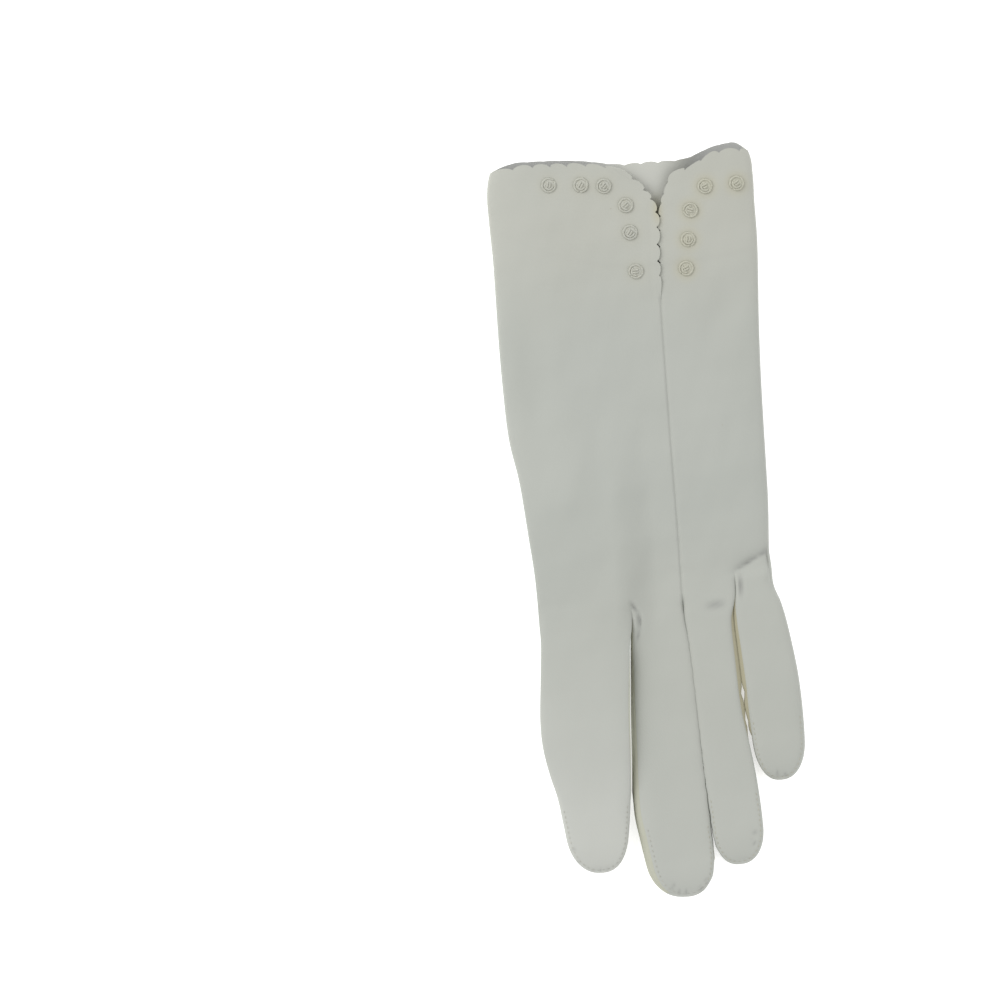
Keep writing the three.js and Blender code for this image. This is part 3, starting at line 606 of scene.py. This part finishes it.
def ring_of_hand():
    """The columns round the hand, from the seam in the back over the left half, the left fold,
    the palm, the right fold and the right half back to the seam. Gives each one's place on the
    crotch line, its height share, and 1 where it belongs to the index finger."""
    root_x, v, own = [], [], []
    parts = [(1, "over"), (0, "over"), (0, "left"), (0, "under"), (1, "under"), (2, "under"),
             (3, "under"), (3, "right"), (3, "over"), (2, "over")]
    spans = {"over": slice(0, over_count), "left": slice(over_count, left_count),
             "under": slice(left_count, under_count), "right": slice(under_count, None)}
    before = ""
    for index, part in parts:
        p, height = section(index, np.zeros((1, 1)))
        shared = int(part == before)  # two fingers' backs, or undersides, share the column between
        place = root_across(index, p)[0, spans[part]][shared:]
        root_x.append(place)
        v.append(height[0, spans[part]][shared:])
        own.append(np.full(len(place), float(index == 0)))
        before = part
    return np.concatenate(root_x), np.concatenate(v), np.concatenate(own)


root_x, root_v, own_index = ring_of_hand()
half_top = 2 * top_steps
last_column = len(root_x) - 1
column = np.arange(len(root_x))
over_left = column <= half_top
over_right = column >= last_column - half_top
root_low, root_high = hand_outline[0, 1] * palm_width, hand_outline[0, 2] * palm_width
root_share = (root_x - (root_low + root_high) / 2) / ((root_high - root_low) / 2)
left_share, right_share = root_share[half_top], root_share[last_column - half_top]
seam_share = root_share[0]

# where the vent's edges meet the cuff's: places across in mm
left_corner, right_corner = vent_edges[-1, 1] * palm_width, 16.2
cuff_low, cuff_high = edges_at(hand_outline, 0.982)
cuff_middle, cuff_half = (cuff_low + cuff_high) / 2, (cuff_high - cuff_low) / 2


def stepped(part, first, way, fold, notches, end, tail):
    """Columns of one part of the ring, stepped off so that each notch between scallops has its own
    column. Gives each column's share of the way from the fold to the end, and its phase, which is
    a whole number at a notch and starts at a half."""
    places = np.array([fold, *notches, end])
    count = len(places) - 1
    steps = part.sum() - 1
    spots = np.round(np.linspace(0, steps, count + 1))
    phases = np.concatenate([[0.5], np.arange(1, count), [count - tail]])
    number = (column[part] - first) * way
    return (np.interp(number, spots, places) - fold) / (end - fold), np.interp(number, spots, phases)


# each half of the back is measured from its fold, 0, to the seam, 1; the palm from fold to fold
measure, even, phase_across = np.zeros((3, len(column)))
for leaf, first, way, share, notches, corner in (
        (over_left, half_top, -1, left_share, left_notches, left_corner),
        (over_right, last_column - half_top, 1, right_share, right_notches, right_corner)):
    measure[leaf] = (root_share[leaf] - share) / (seam_share - share)
    even[leaf], phase_across[leaf] = stepped(
        leaf, first, way, cuff_middle + cuff_half * share, notches, corner, 0)
under_first = half_top + side_steps
under_last = last_column - half_top - side_steps
under = (column >= under_first) & (column <= under_last)
low_share, high_share = root_share[under_first], root_share[under_last]
measure[under] = (root_share[under] - low_share) / (high_share - low_share)
even[under], phase_across[under] = stepped(
    under, under_first, 1, cuff_middle + cuff_half * low_share, palm_notches,
    cuff_middle + cuff_half * high_share, 0.5)

# the layer whose cuff edge a column ends on: 0 the palm's, 1 the back's
layer = np.where(over_left | over_right, 1.0, 0.0)
left_turn = (column > half_top) & (column < under_first)
right_turn = (column > under_last) & (column < last_column - half_top)
layer[left_turn] = 1 - ease((column[left_turn] - half_top) / side_steps)
layer[right_turn] = ease((column[right_turn] - under_last) / side_steps)
in_turn = left_turn | right_turn


def notch(phase):
    """How deep an edge of scallops is cut in: 1 at each whole number, and from there down to 0
    half way to the next on most of a half circle."""
    s = 2 * (phase - np.floor(phase)) - 1
    return (1 - np.sqrt(1 - 0.96 * s ** 2)) / 0.8


def across_hand(centre, half, left_end, right_end, part):
    """Where the columns lie: each half of the back at its part of the way from its fold to an end,
    the palm's from fold to fold, and those of the folds as in the outline at the crotch line."""
    x = centre + half * root_share
    x = np.where(over_left, mix(centre + half * left_share, left_end, part), x)
    x = np.where(over_right, mix(centre + half * right_share, right_end, part), x)
    return np.where(under, centre + half * mix(low_share, high_share, part), x)


def hand_skin():
    """Points of the hand, row by row from the cuff's edge to the crotch line. Columns pass from the
    scallops' spacing at the cuff to the fingers' own. At a notch the points slide along their
    column, or at the vent along their row, so that none cross; that falls off with the square of
    the distance from the edge."""
    spots = np.linspace(0, vent_rows, len(vent_notches))
    phase_down = np.interp(np.arange(vent_rows + 1), spots, np.arange(len(vent_notches)))
    top_t = np.interp(phase_down, np.arange(len(vent_notches)),
                      (vent_notches[0] - vent_notches) / (vent_notches[0] - vent_notches[-1]))
    low_t = 1 - (1 - np.linspace(0, 1, hand_rows + 1)[1:]) ** 1.4

    # where the cuff's edge lies at each column
    start = across_hand(cuff_middle, cuff_half, left_corner, right_corner, even)
    palm_drop, back_drop = (follow(cuff_edges, start / palm_width, side) for side in (1, 2))
    drop = mix(palm_drop, back_drop, layer)
    edge_y = cuff_y - drop * hand_length

    y = np.vstack([mix(edge_y, foot_y, top_t[:, None]),
                   mix(foot_y, crotch_at(root_x), low_t[:, None])])
    depth = edge_y - y  # distance below the cuff's edge
    near = 1 - ease((y - crotch_at(root_x)) / (crotch_blend - (crotch_at(root_x) - crotch_y)))
    low, high = edges_at(hand_outline, (y - crotch_y) / hand_length)
    centre, half = (low + high) / 2, (high - low) / 2
    part = mix(measure, even, 1 - ease(depth / 60.0))

    # the seam, and above its foot the two edges of the vent, at each row
    left_y, right_y = y[:, :1], y[:, -1:]
    seam_x = follow(seam_line, np.minimum(left_y, foot_y), 1)
    left_x, right_x = (
        np.where(level > foot_y, follow(vent_edges, (level - crotch_y) / hand_length, side) * palm_width,
                 seam_x) for level, side in ((left_y, 1), (right_y, 2)))

    x = mix(across_hand(centre, half, left_x, right_x, part), root_x, near)

    # scallops of the cuff, cut down from its edge; the palm's show most where the vent stands open
    palm_depth = 0.12 + 0.5 * np.exp(-(((start - 8.0) / 10.0) ** 4))
    cut = notch(phase_across) * np.where(under, palm_depth, notch_depth)
    cut = np.where(in_turn, 0.0, cut)
    slid = y - cut * np.clip(1 - depth / notch_fade, 0, 1) ** 2
    for number in range(len(column)):
        x[:, number] = np.interp(-slid[:, number], -y[:, number], x[:, number])
    y = slid

    # scallops of the vent, cut in along each row, and the lap of the left leaf on the right
    phase_down = np.concatenate([phase_down, np.full(hand_rows, 0.5)])
    notched = np.where(phase_down < 0.5, 0.0, notch(phase_down))[:, None]
    for leaf, edge, level, way, lap, open_depth in (
            (over_left, left_x, left_y, -1, 0.45, 1.1), (over_right, right_x, right_y, 1, 0.5, 0.45)):
        lean = np.gradient(edge[:, 0], level[:, 0])[:, None]
        shut = 1 - ease((level - vent_opens_y) / 5.0)
        ragged = mix(open_depth, 1.1, shut) * notched * ease((level - foot_y - 5.0) / 5.0)
        beside = np.clip(1 - np.abs(edge - x) / 5.0, 0, 1) ** 2 * leaf
        over = lap * ease((level - foot_y) / 6.0) * shut
        x = x + way * (ragged * np.hypot(1, lean) - over) * beside
    share = np.clip((x - centre) / half, -1, 1)
    return np.stack([x, y, hand_heights(x, y, share, near)], -1)


def hand_heights(x, y, share, near):
    """How high the hand's points lie: on a flat oval, the swell of their share across, towards the
    cuff, and on the fingers' sections near the crotches, plus the thumb's lift and all dents."""
    share = np.where(in_turn, root_share, share)
    oval = swell(share, np.where(root_v > 0, soft, 8.0))
    rise = mix(oval, np.abs(root_v), 1 - ease((y - crotch_at(root_x)) / 4.0))
    up = np.where(root_v > 0, rise, -rise)
    climb = lift(x, y, own_index)
    tall = mix(hand_height, finger_height, near) - pressed * climb
    z = tall / 2 * (1 + raised(up)) + climb
    z = z + np.where(root_v > 0, dents(x, y) * rise, 0.0)

    # the left leaf lies a little above the right one, with a faint line beside its edge
    away = x - follow(vent_edges, (np.maximum(y, foot_y) - crotch_y) / hand_length, 1) * palm_width
    z = z + groove(x, y) * np.clip(root_v / fold_v, 0, 1)
    above = ease((y - foot_y + 2.0) / 10.0)
    z = z + np.where(over_left, 0.55 * above * np.clip(1 + away / 7.0, 0, 1) ** 2, 0.0)
    z = z - np.where(over_right, 0.25 * above * np.clip(1 - away / 7.0, 0, 1) ** 2, 0.0)
    z = z - np.where(over_left, 0.12 * above * np.exp(-(((away + 2.7) / 0.35) ** 2)), 0.0)

    # where the vent gapes, the palm bows up between the two leaves
    bow = np.exp(-(((x - 7.0) / 14.0) ** 4)) * ease((y - 86.0) / 16.0)
    z = z + np.where(under, palm_bow * bow, 0.0)

    # the facing behind the cuff ends in a soft step
    facing = 84.0 + 0.0065 * (x - 6.0) ** 2 * np.where(x < 6.0, 1.0, 0.35)
    return z + np.where(root_v > 0, 0.14 * ease((y - facing + 1.0) / 2.0), 0.0)


def cloth_uv(points, first):
    """Cloth coordinates in cm: arc length along each row from a chosen column, and y."""
    step = np.linalg.norm(np.diff(points, axis=1), axis=-1)
    across = np.concatenate([np.zeros((len(points), 1)), np.cumsum(step, 1)], 1)
    across = across - across[:, first : first + 1]
    return np.stack([across * 0.1, points[..., 1] * 0.1], -1)


def joined(grids, way=1):
    """Points, quads and cloth coordinates of several grids in one mesh; way -1 turns the quads over."""
    points, faces, uvs, count = [], [], [], 0
    for grid, uv in grids:
        points.append(grid.reshape(-1, 3))
        faces.append(grid_faces(*grid.shape[:2], count)[:, ::way])
        uvs.append(uv.reshape(-1, 2))
        count += len(points[-1])
    return np.concatenate(points), np.concatenate(faces), np.concatenate(uvs)


hand = hand_skin()
skins = [finger_skin(index) for index in range(4)]
shift = np.array(centring)
rose_spots = [np.mean(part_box(f"rosette_{number:02d}"), 0) * 1000 - shift for number in range(1, 12)]

# the fingers' skins are closed to rings, and the quads of the strips beside them are kept apart
grids = [(hand, cloth_uv(hand, 0))]
is_cloth = [np.ones((hand.shape[0] - 1) * (hand.shape[1] - 1), bool)]
strips = {0: [], 1: [], 2: []}
for index, skin in enumerate(skins):
    ring = np.concatenate([skin, skin[:, :1]], 1)
    own = np.ones((ring.shape[0] - 1, ring.shape[1] - 1), bool)
    for way, first in side_first.items():
        if (index, way) not in folded_sides:
            end_row = finger_rows + (10 if (index, way) == (1, -1) else 3)
            own[:end_row, first : first + side_steps] = False
            between = index if way > 0 else index - 1
            strips[between].append((way, ring[: end_row + 1, first : first + side_steps + 1]))
    grids.append((ring, cloth_uv(ring, top_steps // 2)))
    is_cloth.append(own.ravel())
trank_points, trank_faces, trank_uv = joined(grids)


def axis(vector, number):
    """One coordinate of a vector: 0 for x and 1 for y."""
    return node(vector.tree, "ShaderNodeSeparateXYZ", {}, vector, output=number)


def blend(share, first, second):
    """A colour between two: the first where the share is 0, the second where it is 1."""
    return node(share.tree, "ShaderNodeMix", {"data_type": "RGBA"},
                {0: share, 6: first, 7: second}, output=2)


def woven(uv):
    """A plain weave: the sine across the cloth times the sine along it."""
    turns = 2 * np.pi / 0.05  # a thread and its gap in 0.05 cm
    return (axis(uv, 0) * turns).sine() * (axis(uv, 1) * turns).sine()


cloth_finish, tree, out = new_finish("white_cotton")
uv = node(tree, "ShaderNodeUVMap", {"uv_map": "cloth"})
place = node(tree, "ShaderNodeTexCoord", {}, output=3)
px, py = axis(place, 0), axis(place, 1)
fibre = noise(uv, 14.0, 6.0, Roughness=0.6)
cloudy, broad = noise(place, 26.0, 3.0), noise(place, 9.0, 2.0)
aged = (py.eased(0.055, 0.105) * 0.55 + (broad - 0.5) * 0.8 + 0.1).held()
plain = (0.388, 0.404, 0.372, 1.0)
yellowed = (0.435, 0.434, 0.38, 1.0)
# a paler colour, for random paleness, paler fingertips and painted light over the index finger
paler_and_lit_colour = (0.48, 0.49, 0.455, 1.0)
stained_colour = (0.43, 0.415, 0.315, 1.0)
# painted shade: the colour that the narrow creases and puckers are darkened towards
crease_shade_colour = (0.265, 0.27, 0.258, 1.0)
speck_colour = (0.3, 0.26, 0.18, 1.0)
# paler cloth: random cloudy paleness, paler towards the fingertips, and painted light over the index
# finger
lit_index_side = (0.0 - px).eased(0.004, 0.02) * (0.0 - py).eased(0.02, 0.11)
pale = ((cloudy - 0.5) * 0.5 + (0.0 - py).eased(0.06, 0.125) * 0.25 + lit_index_side * 0.9 + 0.14).held()
stain = node(tree, "ShaderNodeAttribute", {"attribute_name": "stain"}, output=2)
crease_shade_mask = node(tree, "ShaderNodeAttribute", {"attribute_name": "soil"}, output=2)
speck_place = node(tree, "ShaderNodeTexVoronoi", {"feature": "F1"}, {"Vector": uv, "Scale": 0.9}, output=0)
speck = 1.0 - speck_place.eased(0.012, 0.03)
cloth_colour = blend(aged, plain, yellowed)
cloth_colour = blend(pale, cloth_colour, paler_and_lit_colour)
cloth_colour = blend(stain, cloth_colour, stained_colour)
# painted shade: the cloth is darker in its narrow creases and puckers
cloth_colour = blend(crease_shade_mask * 0.6, cloth_colour, crease_shade_colour)
cloth_colour = blend(speck * 0.35, cloth_colour, speck_colour)
relief = woven(uv) * 0.3 + fibre
bump = node(tree, "ShaderNodeBump", {}, {"Strength": 0.18, "Distance": 0.0002, "Height": relief})
surface(tree, out, {
    "Base Color": cloth_colour, "Roughness": 0.93, "Normal": bump, "Sheen Weight": 0.12,
    "Sheen Roughness": 0.6, "Specular IOR Level": 0.25})

inside_finish, tree, out = new_finish("cotton_inside")
px = axis(node(tree, "ShaderNodeTexCoord", {}, output=3), 0)
# painted light: the inside of the cloth is paler where the vent stands open
vent_painted_light = px.eased(-0.012, 0.002) * (1.0 - px.eased(0.017, 0.026))  # where the vent stands open
stain = node(tree, "ShaderNodeAttribute", {"attribute_name": "stain"}, output=2)
inside_colour = blend(vent_painted_light, (0.41, 0.415, 0.4, 1.0), (0.49, 0.495, 0.455, 1.0))
inside_colour = blend(stain, inside_colour, (0.36, 0.345, 0.24, 1.0))
surface(tree, out, {
    "Base Color": inside_colour, "Roughness": 0.95, "Specular IOR Level": 0.2})

trank = mesh_of("trank_cloth", cloth_finish, trank_points + shift,
                trank_faces[np.concatenate(is_cloth)], trank_uv, weld_reach)

# yellow stains: round each rosette, stronger on the right leaf, and where the vent closes
spots = np.empty(len(trank.data.vertices) * 3, np.float32)
trank.data.vertices.foreach_get("co", spots)
spots = spots.reshape(-1, 3) * 1000 - shift
stained = 0.9 * np.exp(-(((spots[:, 0] - 10.2) / 1.6) ** 2) - ((spots[:, 1] - 101.5) / 4.0) ** 2)
for x, y, _ in rose_spots:
    away = np.hypot(spots[:, 0] - x, spots[:, 1] - y)
    stained = stained + (0.55 if x > 10 else 0.15) * np.exp(-((away / 4.2) ** 4)) * (spots[:, 2] > 4)
# painted shade in the narrow creases and puckers on the back, kept as a point attribute for the cloth's
# colour
crease_shade_amount = soil(spots[:, 0], spots[:, 1]) * (spots[:, 2] > 4)
for name, values in (("stain", stained), ("soil", crease_shade_amount)):
    layer_of = trank.data.attributes.new(name, "FLOAT", "POINT")
    layer_of.data.foreach_set("value", np.minimum(values, 1).astype(np.float32))


def thicken(piece):
    """Gives a sheet the thickness of cloth, on its inner side."""
    layer = piece.modifiers.new("wall", "SOLIDIFY")
    layer.thickness, layer.offset = wall * 0.001, -1.0
    return layer


trank.data.materials.append(inside_finish)
thicken(trank).material_offset = 1
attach(trank, "root")
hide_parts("trank")


# The fourchettes: three narrow strips of yellowed cotton, each folded to a V at a crotch and sewn
# in between two fingers from there almost to the fingertips.

strip_sinks = (0.15, 0.0, 0.0)  # how far a strip lies behind the edges it is sewn to

strip_finish, tree, out = new_finish("cream_cotton")
uv = node(tree, "ShaderNodeUVMap", {"uv_map": "cloth"})
fibre, cloudy = noise(uv, 16.0, 6.0), noise(uv, 1.3, 3.0)
# the strips' cream turns darker and more olive towards the little finger: partly the strip's own tone,
# partly painted shade deep in the slit beside the little finger, with random cloudy tone
far_right = axis(node(tree, "ShaderNodeTexCoord", {}, output=3), 0).eased(0.006, 0.02)
slit_shade_and_tone = (far_right + (cloudy - 0.5) * 0.5).held()
strip_colour = blend(slit_shade_and_tone, (0.46, 0.465, 0.385, 1.0), (0.365, 0.345, 0.245, 1.0))
bump = node(tree, "ShaderNodeBump", {}, {
    "Strength": 0.25, "Distance": 0.0002, "Height": woven(uv) * 0.4 + fibre})
surface(tree, out, {
    "Base Color": strip_colour, "Roughness": 0.95, "Normal": bump, "Specular IOR Level": 0.2})

names = ["index", "middle", "ring", "little"]
for between, sides in strips.items():
    grids = []
    for way, edge in sides:
        sunk = edge + shift
        sunk[..., 0] -= way * ease(np.arange(len(edge))[:, None] / 5.0) * strip_sinks[between]
        grids.append((sunk, cloth_uv(sunk - shift, edge.shape[1] // 2)))
    pair = f"{names[between]}_{names[between + 1]}"
    strip = mesh_of(f"strip_{pair}", strip_finish, *joined(grids), weld_reach)
    thicken(strip)
    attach(strip, "root")
    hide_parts(f"fourchette_{pair}")


# The thumb: a tube of the same cotton, let into the palm and folded flat beneath it, so that it
# lies between the table and the palm and index finger.

thumb_tip = -0.335  # across, in palm widths
thumb_rows, thumb_cols = 90, 72


def thumb_skin():
    """Points of the thumb from its seam in the palm to its tip. Each row is a rounded section
    between the thumb's edges, pressed flat below, and above held just under the lifted palm."""
    start = 1 - tip_round / thumb_length
    along = np.concatenate([mix(0.02, start, np.linspace(0, 1, thumb_rows - 15)),
                            mix(start, 1, np.sin(np.pi / 2 * np.linspace(0, 1, 16)[1:]))])[:, None]
    angle = np.linspace(0, 2 * np.pi, thumb_cols + 1)
    p = np.sign(np.cos(angle)) * np.abs(np.cos(angle)) ** (2 / soft)
    v = np.sign(np.sin(angle)) * np.abs(np.sin(angle)) ** (2 / soft)
    y = mix(crotch_y - thumb_reach + thumb_length, crotch_y - thumb_reach, along) + 0 * p
    round_ = tip_swell(along, thumb_length)
    low, high = edges_at(thumb_edges, along)
    x = mix(thumb_tip * palm_width, (low + high) / 2, round_ ** 0.7) + (high - low) / 2 * round_ * p
    close = np.sqrt(1 - np.clip((along - 1 + 0.02) / 0.02, 0, 1) ** 2)
    height = thumb_height * mix(tip_thin, 1, round_)
    z = height / 2 * (1 + raised(v) * close)
    roof = np.maximum(lift(x, y, 1.0) - 0.12, wall + 0.02)
    return np.stack([x, y, np.minimum(z, roof)], -1)


thumb_points = thumb_skin()
thumb_grid = (thumb_points + shift, cloth_uv(thumb_points, thumb_cols // 4))
thumb = mesh_of("thumb_cloth", cloth_finish, *joined([thumb_grid]), weld_reach)
thicken(thumb)
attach(thumb, "root")
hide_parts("thumb")


# The rosettes: eleven small roses of soft cotton thread. Two short bars of wound thread fill the
# middle, three crescents are coiled round them, and a low pad beneath them is sunk in the cloth.

rosette_size = 2.6  # outside radius
drawn_size = 2.52  # the same, as the lines of thread below are drawn
thread_size = 0.4  # radius of the wound thread
pad_size, pad_height, pad_sink = 2.4, 0.55, 0.1  # radius, and rise and fall from the cloth

thread_finish, tree, out = new_finish("wound_thread")
uv = node(tree, "ShaderNodeUVMap", {"uv_map": "cloth"})
turns = (axis(uv, 1) * 34.0 + axis(uv, 0) * 6.2832).sine()
place = node(tree, "ShaderNodeTexCoord", {}, output=3)
fray, patchy = noise(uv, 60.0, 3.0), noise(place, 60.0, 1.0)
right_leaf = axis(place, 0).eased(0.009, 0.011)
creamy = (right_leaf * 0.8 + (patchy - 0.5) * 0.8 + 0.1).held()
thread_colour = blend(creamy, (0.44, 0.445, 0.4, 1.0), (0.455, 0.45, 0.37, 1.0))
# painted shade: the thread is darker in the grooves between its turns
shade_between_turns = (1.0 - turns.eased(-1.0, -0.2)) * 0.3
thread_colour = blend(shade_between_turns, thread_colour, (0.34, 0.33, 0.26, 1.0))
bump = node(tree, "ShaderNodeBump", {}, {
    "Strength": 0.5, "Distance": 0.00012, "Height": turns + fray * 0.5})
surface(tree, out, {
    "Base Color": thread_colour, "Roughness": 0.75, "Normal": bump, "Specular IOR Level": 0.3})


def wound(path, radius, sides=8):
    """A closed tube of thread along a path: each ring lies square to it, and the radius falls to
    nothing at both ends on a half circle. Gives points and cloth coordinates."""
    step = np.gradient(path, axis=0)
    along = step / np.linalg.norm(step, axis=1)[:, None]
    side = np.cross(along, [0.0, 0.0, 1.0])
    side /= np.linalg.norm(side, axis=1)[:, None]
    up = np.cross(side, along)
    length = np.concatenate([[0], np.cumsum(np.linalg.norm(np.diff(path, axis=0), axis=1))])
    end = np.minimum(length, length[-1] - length) / (radius * 1.2)
    size = radius * np.sqrt(1 - (1 - np.clip(end, 0, 1)) ** 2)
    turn = np.linspace(0, 2 * np.pi, sides + 1)
    ring = side[:, None] * np.cos(turn)[None, :, None] + up[:, None] * np.sin(turn)[None, :, None]
    points = path[:, None] + ring * size[:, None, None]
    uv = np.stack(np.broadcast_arrays(turn[None] / (2 * np.pi), length[:, None] * 0.1), -1)
    return points, uv


def arc(radius, start, end, steps, high, low):
    """An arc in degrees round the middle, high in its middle and low at its ends, in step with the
    square root of a sine."""
    t = np.linspace(0, 1, steps)
    a = np.radians(mix(start, end, t))
    return np.stack([radius * np.cos(a), radius * np.sin(a), mix(low, high, np.sin(np.pi * t) ** 0.5)], -1)


def bar(offset, length, height):
    """A short bar across the middle, bent sideways with the square of the distance from its own
    middle and down at its ends with the fourth power."""
    t = np.linspace(-1, 1, 14)
    return np.stack([t * length / 2, offset + 0.18 * t ** 2, height - 0.35 * t ** 4], -1)


def pad():
    """A low round pad that falls off with the cube of the distance from its middle, and whose rim
    is sunk in the cloth. Gives points and cloth coordinates."""
    r = np.linspace(0, 1, 10)[:, None]
    a = np.linspace(0, 2 * np.pi, 41)
    height = pad_height - (pad_height + pad_sink) * r ** 3
    points = np.stack(np.broadcast_arrays(pad_size * r * np.cos(a), pad_size * r * np.sin(a), height), -1)
    return points, np.stack(np.broadcast_arrays(r * pad_size * 0.1, a * 0.1), -1)


def laid_on(x, y):
    """Where a drop from above meets the back of the glove, in mm, and the cloth's direction there."""
    from_above = Vector(((x + shift[0]) * 0.001, (y + shift[1]) * 0.001, 0.1))
    _, spot, normal, _ = trank.ray_cast(from_above, Vector((0, 0, -1)))
    return np.array(spot) * 1000, np.array(normal)


def set_on(points, spot, normal, turn):
    """Points about the origin, turned about their own upright and stood on a spot along a normal."""
    c, s = np.cos(turn), np.sin(turn)
    first = np.cross([0.0, 1.0, 0.0], normal)
    first /= np.linalg.norm(first)
    second = np.cross(normal, first)
    x = points[..., :1] * c - points[..., 1:2] * s
    y = points[..., :1] * s + points[..., 1:2] * c
    return spot + x * first + y * second + points[..., 2:3] * normal


bpy.context.view_layer.update()
chance = np.random.default_rng(7)
for number, (x, y, _) in enumerate(rose_spots, 1):
    wiggle = chance.normal(0, 1, 8)
    lines = [arc(2.08, -35 + 14 * wiggle[0], 205 + 14 * wiggle[1], 46, 0.24, 0.04),
             arc(1.98, 196 + 10 * wiggle[2], 338 + 10 * wiggle[3], 30, 0.18, 0.04),
             arc(1.28, 110 + 20 * wiggle[4], 290 + 20 * wiggle[5], 30, 0.42, 0.24),
             bar(0.42, 1.9, 0.56), bar(-0.34, 1.7 + 0.2 * wiggle[6], 0.6)]
    forms = [wound(line * (rosette_size / drawn_size), thread_size) for line in lines] + [pad()]
    spot, normal = laid_on(x, y)
    grids = [(set_on(form, spot, normal, 0.6 + 0.5 * wiggle[7]), uv) for form, uv in forms]
    rose = mesh_of(f"rose_{number:02d}", thread_finish, *joined(grids, -1), weld_reach)
    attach(rose, "root")
    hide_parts(f"rosette_{number:02d}")


# The stitches: short running stitches of cotton thread, sewn through both layers just inside the
# edge round each fingertip.

stitch_pitch = 1.7
stitch_length = 0.85
stitch_size = 0.13
stitch_inset = 1.0
stitch_row = finger_rows - 4  # row of a finger where they begin


def stitch_places(index):
    """Where stitches lie on a finger: the outline of its back round the tip, set in, and stepped
    off evenly."""
    skin = skins[index]
    right, left = skin[:, 0, :2], skin[:, top_steps, :2]
    line = np.concatenate([right[stitch_row:-1], left[stitch_row:-1][::-1]])
    step = np.gradient(line, axis=0)
    step /= np.linalg.norm(step, axis=1)[:, None]
    inside = line + np.stack([step[:, 1], -step[:, 0]], -1) * stitch_inset
    length = np.concatenate([[0], np.cumsum(np.linalg.norm(np.diff(inside, axis=0), axis=1))])
    at = np.arange(0.5, length[-1], stitch_pitch)
    x, y = np.interp(at, length, inside[:, 0]), np.interp(at, length, inside[:, 1])
    ahead = np.interp(at + 0.3, length, inside[:, 0]) - x, np.interp(at + 0.3, length, inside[:, 1]) - y
    return x, y, np.arctan2(ahead[1], ahead[0])


stitch_t = np.linspace(-1, 1, 7)
stitch_line = np.stack([stitch_t * stitch_length / 2, 0 * stitch_t, 0.06 - 0.1 * stitch_t ** 2], -1)
stitch_tube, stitch_uv = wound(stitch_line, stitch_size, 5)
grids = []
for index in range(4):
    for x, y, turn in zip(*stitch_places(index)):
        grids.append((set_on(stitch_tube, *laid_on(x, y), turn), stitch_uv))
stitches = mesh_of("seam_stitches", thread_finish, *joined(grids, -1))
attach(stitches, "root")
